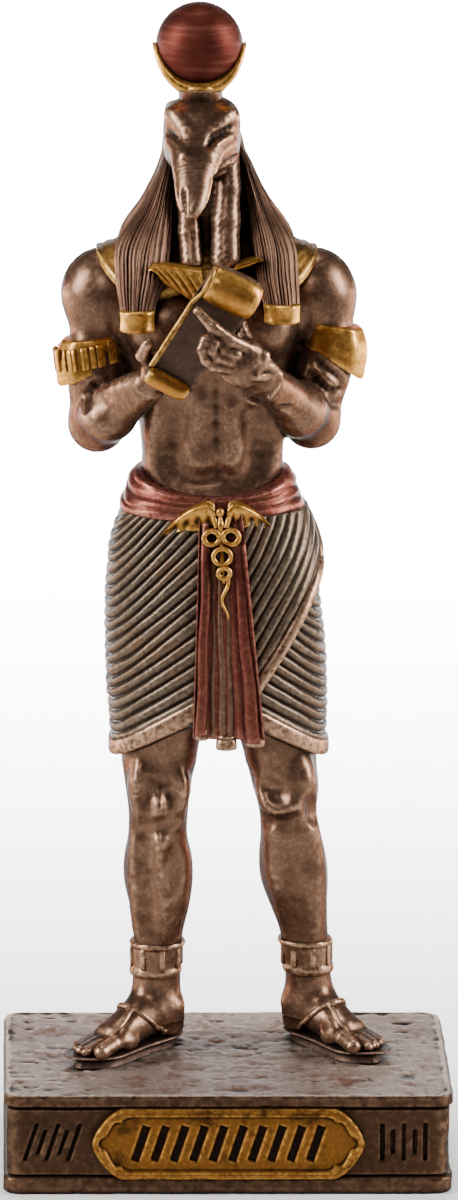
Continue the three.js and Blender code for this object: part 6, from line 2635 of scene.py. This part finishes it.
@dataclass
class Studio:
    """A plain pale floor, soft light and the photograph's camera."""

    target: Point = (0.047, 0.0, 43.637)
    azimuth: float = -1.517
    elevation: float = 13.655
    distance: float = 687.742
    roll: float = 0.4
    focal_share: float = 9080.661 / 1200
    sensor: float = 36.0

    def build(self) -> None:
        """Builds the floor, the lights and the camera."""
        self.floor()
        self.lights()
        self.camera()

    @staticmethod
    def floor() -> None:
        """Lays a pale matt floor."""
        mesh = bpy.data.meshes.new("studio_floor")
        corners = [(x * 4.0, y * 4.0, 0) for x, y in ((-1, -1), (1, -1), (1, 1), (-1, 1))]
        mesh.from_pydata(corners, [], [(0, 1, 2, 3)])
        floor = stand("studio_floor", mesh)
        # Matt white paper: an even pale ground with no shine
        paper = bpy.data.materials.new("matt_white_paper")
        paper.use_nodes = True
        shader = paper.node_tree.nodes["Principled BSDF"]
        shader.inputs["Base Color"].default_value = linear("#f4f3f1")
        shader.inputs["Roughness"].default_value = 0.95
        shader.inputs["Specular IOR Level"].default_value = 0.1
        mesh.materials.append(paper)
        floor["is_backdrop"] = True

    @staticmethod
    def lights() -> None:
        """Sets a soft box to each side, in front and behind, one over the floor, and a dim surround."""
        world = bpy.data.worlds.new("studio_surround")
        world.use_nodes = True
        background = world.node_tree.nodes["Background"]
        background.inputs["Color"].default_value = linear("#f2f2f4")
        background.inputs["Strength"].default_value = 0.05
        bpy.context.scene.world = world
        # Each box's place and target in metres, its width and height, its watts and its spread in degrees
        boxes = (
            ("left_soft_box", (-0.46, -0.12, 0.26), (0, 0, 0.06), (0.14, 0.4), 0.85, 70),
            ("right_soft_box", (0.48, -0.07, 0.24), (0, 0, 0.06), (0.14, 0.4), 0.85, 70),
            ("front_soft_box", (-0.12, -0.50, 0.42), (0, 0, 0.05), (0.12, 0.12), 0.07, 60),
            ("back_soft_box", (0.0, 0.75, 0.24), (0, 0, 0.01), (1.0, 0.24), 0.95, 60),
            ("floor_soft_box", (0.0, 1.08, 0.9), (0, 1.08, 0), (2.0, 1.8), 370.0, 30),
        )
        for name, place, target, size, power, spread in boxes:
            lamp = bpy.data.lights.new(name, "AREA")
            lamp.shape = "RECTANGLE"
            lamp.size, lamp.size_y = size
            lamp.energy = power
            lamp.spread = math.radians(spread)
            light = stand(name, lamp)
            light.location = place
            aim = Vector(target) - Vector(place)
            light.rotation_euler = aim.to_track_quat("-Z", "Y").to_euler()

    def axes(self) -> tuple[Array, Array, Array]:
        """Returns the directions from the target to the camera, to the picture's right and to its top."""
        a, e, r = (math.radians(v) for v in (self.azimuth, self.elevation, self.roll))
        back = np.array([math.sin(a) * math.cos(e), -math.cos(a) * math.cos(e), math.sin(e)])
        right = np.cross(-back, (0, 0, 1))
        right /= np.linalg.norm(right)
        up = np.cross(right, -back)
        return back, right * math.cos(r) + up * math.sin(r), up * math.cos(r) - right * math.sin(r)

    def camera(self) -> None:
        """Stands the camera where the photograph's was."""
        back, right, up = (Vector(axis) for axis in self.axes())
        data = bpy.data.cameras.new("photo_camera")
        data.sensor_width = self.sensor
        data.lens = self.focal_share * self.sensor
        data.clip_start, data.clip_end = 0.01, 20
        camera = stand("photo_camera", data)
        place = (Vector(self.target) + back * self.distance) * MM
        camera.matrix_world = Matrix.Translation(place) @ Matrix((right, up, back)).transposed().to_4x4()
        bpy.context.scene.camera = camera


LEFT_LEG = Leg(
    name="left", heel=(-4.7, 3.4), toe=(-9.76, -2.8), side=-1,
    muscles=(
        # The knee
        Stroke(((-4.63, -13.39), (-4.47, -16.1)), 0.6, -0.3),
        Stroke(((-5.91, -12.12), (-5.91, -13.55), (-6.46, -17.38)), 0.6, -0.22),
        Stroke(((-6.06, -17.22), (-5.11, -17.06), (-4.15, -16.74)), 0.5, -0.28),
        Stroke(((-5.43, -13.55), (-5.27, -15.46)), 0.7, 0.18),
        Stroke(((-6.7, -13.23), (-6.78, -16.26)), 0.8, 0.18),
        Stroke(((-3.67, -14.03), (-3.83, -16.74)), 0.7, 0.16),
        # The shin
        Stroke(((-6.14, -18.49), (-5.98, -22.0), (-5.83, -25.35)), 1.0, -0.26),
        Stroke(((-4.39, -19.61), (-4.39, -21.52)), 0.9, -0.2),
        Stroke(((-6.94, -18.49), (-6.94, -21.7), (-6.94, -24.87)), 0.8, 0.14),
        Stroke(((-5.19, -18.81), (-5.23, -22.0), (-5.27, -25.19)), 0.8, 0.14),
    ),
    rows=(
        (28.0, -4.9, 2.2, 3.4, 3.6), (22.8, -5.15, 1.9, 2.85, 3.1), (20.9, -5.22, 1.7, 2.5, 2.8),
        (19.0, -5.2, 1.5, 2.28, 2.55), (17.1, -5.24, 1.7, 2.27, 2.45), (15.2, -5.19, 2.1, 2.6, 2.65),
        (13.4, -5.15, 2.3, 2.64, 2.75), (11.4, -5.07, 2.4, 2.32, 2.4), (9.4, -5.13, 2.5, 1.93, 2.0),
        (6.6, -5.3, 2.6, 1.72, 1.75), (4.6, -5.35, 2.7, 1.6, 1.75), (2.2, -5.0, 2.9, 1.5, 1.75),
    ),
)
RIGHT_LEG = Leg(
    name="right", heel=(6.1, 4.7), toe=(10.1, -1.35), side=1,
    muscles=(
        # The knee
        Stroke(((2.86, -14.03), (3.82, -14.75)), 0.6, -0.3),
        Stroke(((3.02, -16.74), (4.14, -16.9), (5.25, -16.58)), 0.5, -0.28),
        Stroke(((6.05, -15.31), (6.29, -16.26)), 0.5, -0.18),
        Stroke(((5.41, -13.07), (5.25, -16.26)), 0.9, 0.2),
        Stroke(((2.86, -15.3), (3.34, -16.26)), 0.6, 0.14),
        # The shin
        Stroke(((4.61, -17.86), (4.77, -21.68), (5.25, -25.51)), 1.2, -0.28),
        Stroke(((3.26, -17.38), (3.34, -20.09), (3.82, -22.32)), 0.7, 0.16),
        Stroke(((6.37, -17.38), (6.77, -21.04), (6.61, -25.19)), 0.8, 0.16),
    ),
    rows=(
        (28.0, 3.5, 2.2, 3.4, 3.6), (22.8, 4.15, 1.9, 2.72, 3.1), (20.9, 4.51, 1.7, 2.52, 2.8),
        (19.0, 4.7, 1.55, 2.2, 2.55), (17.1, 4.93, 1.8, 2.32, 2.45), (15.2, 5.1, 2.3, 2.57, 2.65),
        (13.4, 5.27, 2.6, 2.57, 2.75), (11.4, 5.6, 2.8, 2.22, 2.4), (9.4, 5.99, 3.1, 1.88, 2.0),
        (6.6, 6.36, 3.4, 1.68, 1.75), (4.6, 6.45, 3.6, 1.58, 1.75), (2.2, 6.3, 3.9, 1.5, 1.75),
    ),
)


LEFT_BAND = ArmBand(
    name="left", centre=(-10.3, 1.5, 54.85), lean=-7, radius=2.12, height=2.4, flare=0.85, ribs=34, drop=1.1,
)
RIGHT_BAND = ArmBand(
    name="right", centre=(7.7, 1.3, 56.1), lean=9, radius=2.05, height=2.0, flare=0.85, ribs=0, drop=1.9,
)


def main() -> None:
    """Builds the studio and the object."""
    studio = Studio()
    studio.build()
    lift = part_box("plinth")[1].z / MM
    bench = Bench(Sight(studio, lift), lift)
    kilt = Kilt()
    parts = (
        Plinth(), LEFT_LEG, RIGHT_LEG, kilt, GirdleOrnament(kilt), Body(), LEFT_BAND, RIGHT_BAND, Scroll(),
        Collar(), Wig(), Head(), Crown(),
    )
    for part in parts:
        part.build(bench)
    log.info("whole object: %d triangles", bench.triangles)
    boxes = {"cad": CAD_BOX, "visual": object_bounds()}
    {name: [list(corner) for corner in box] for name, box in boxes.items()}


if __name__ == "__main__":
    main()
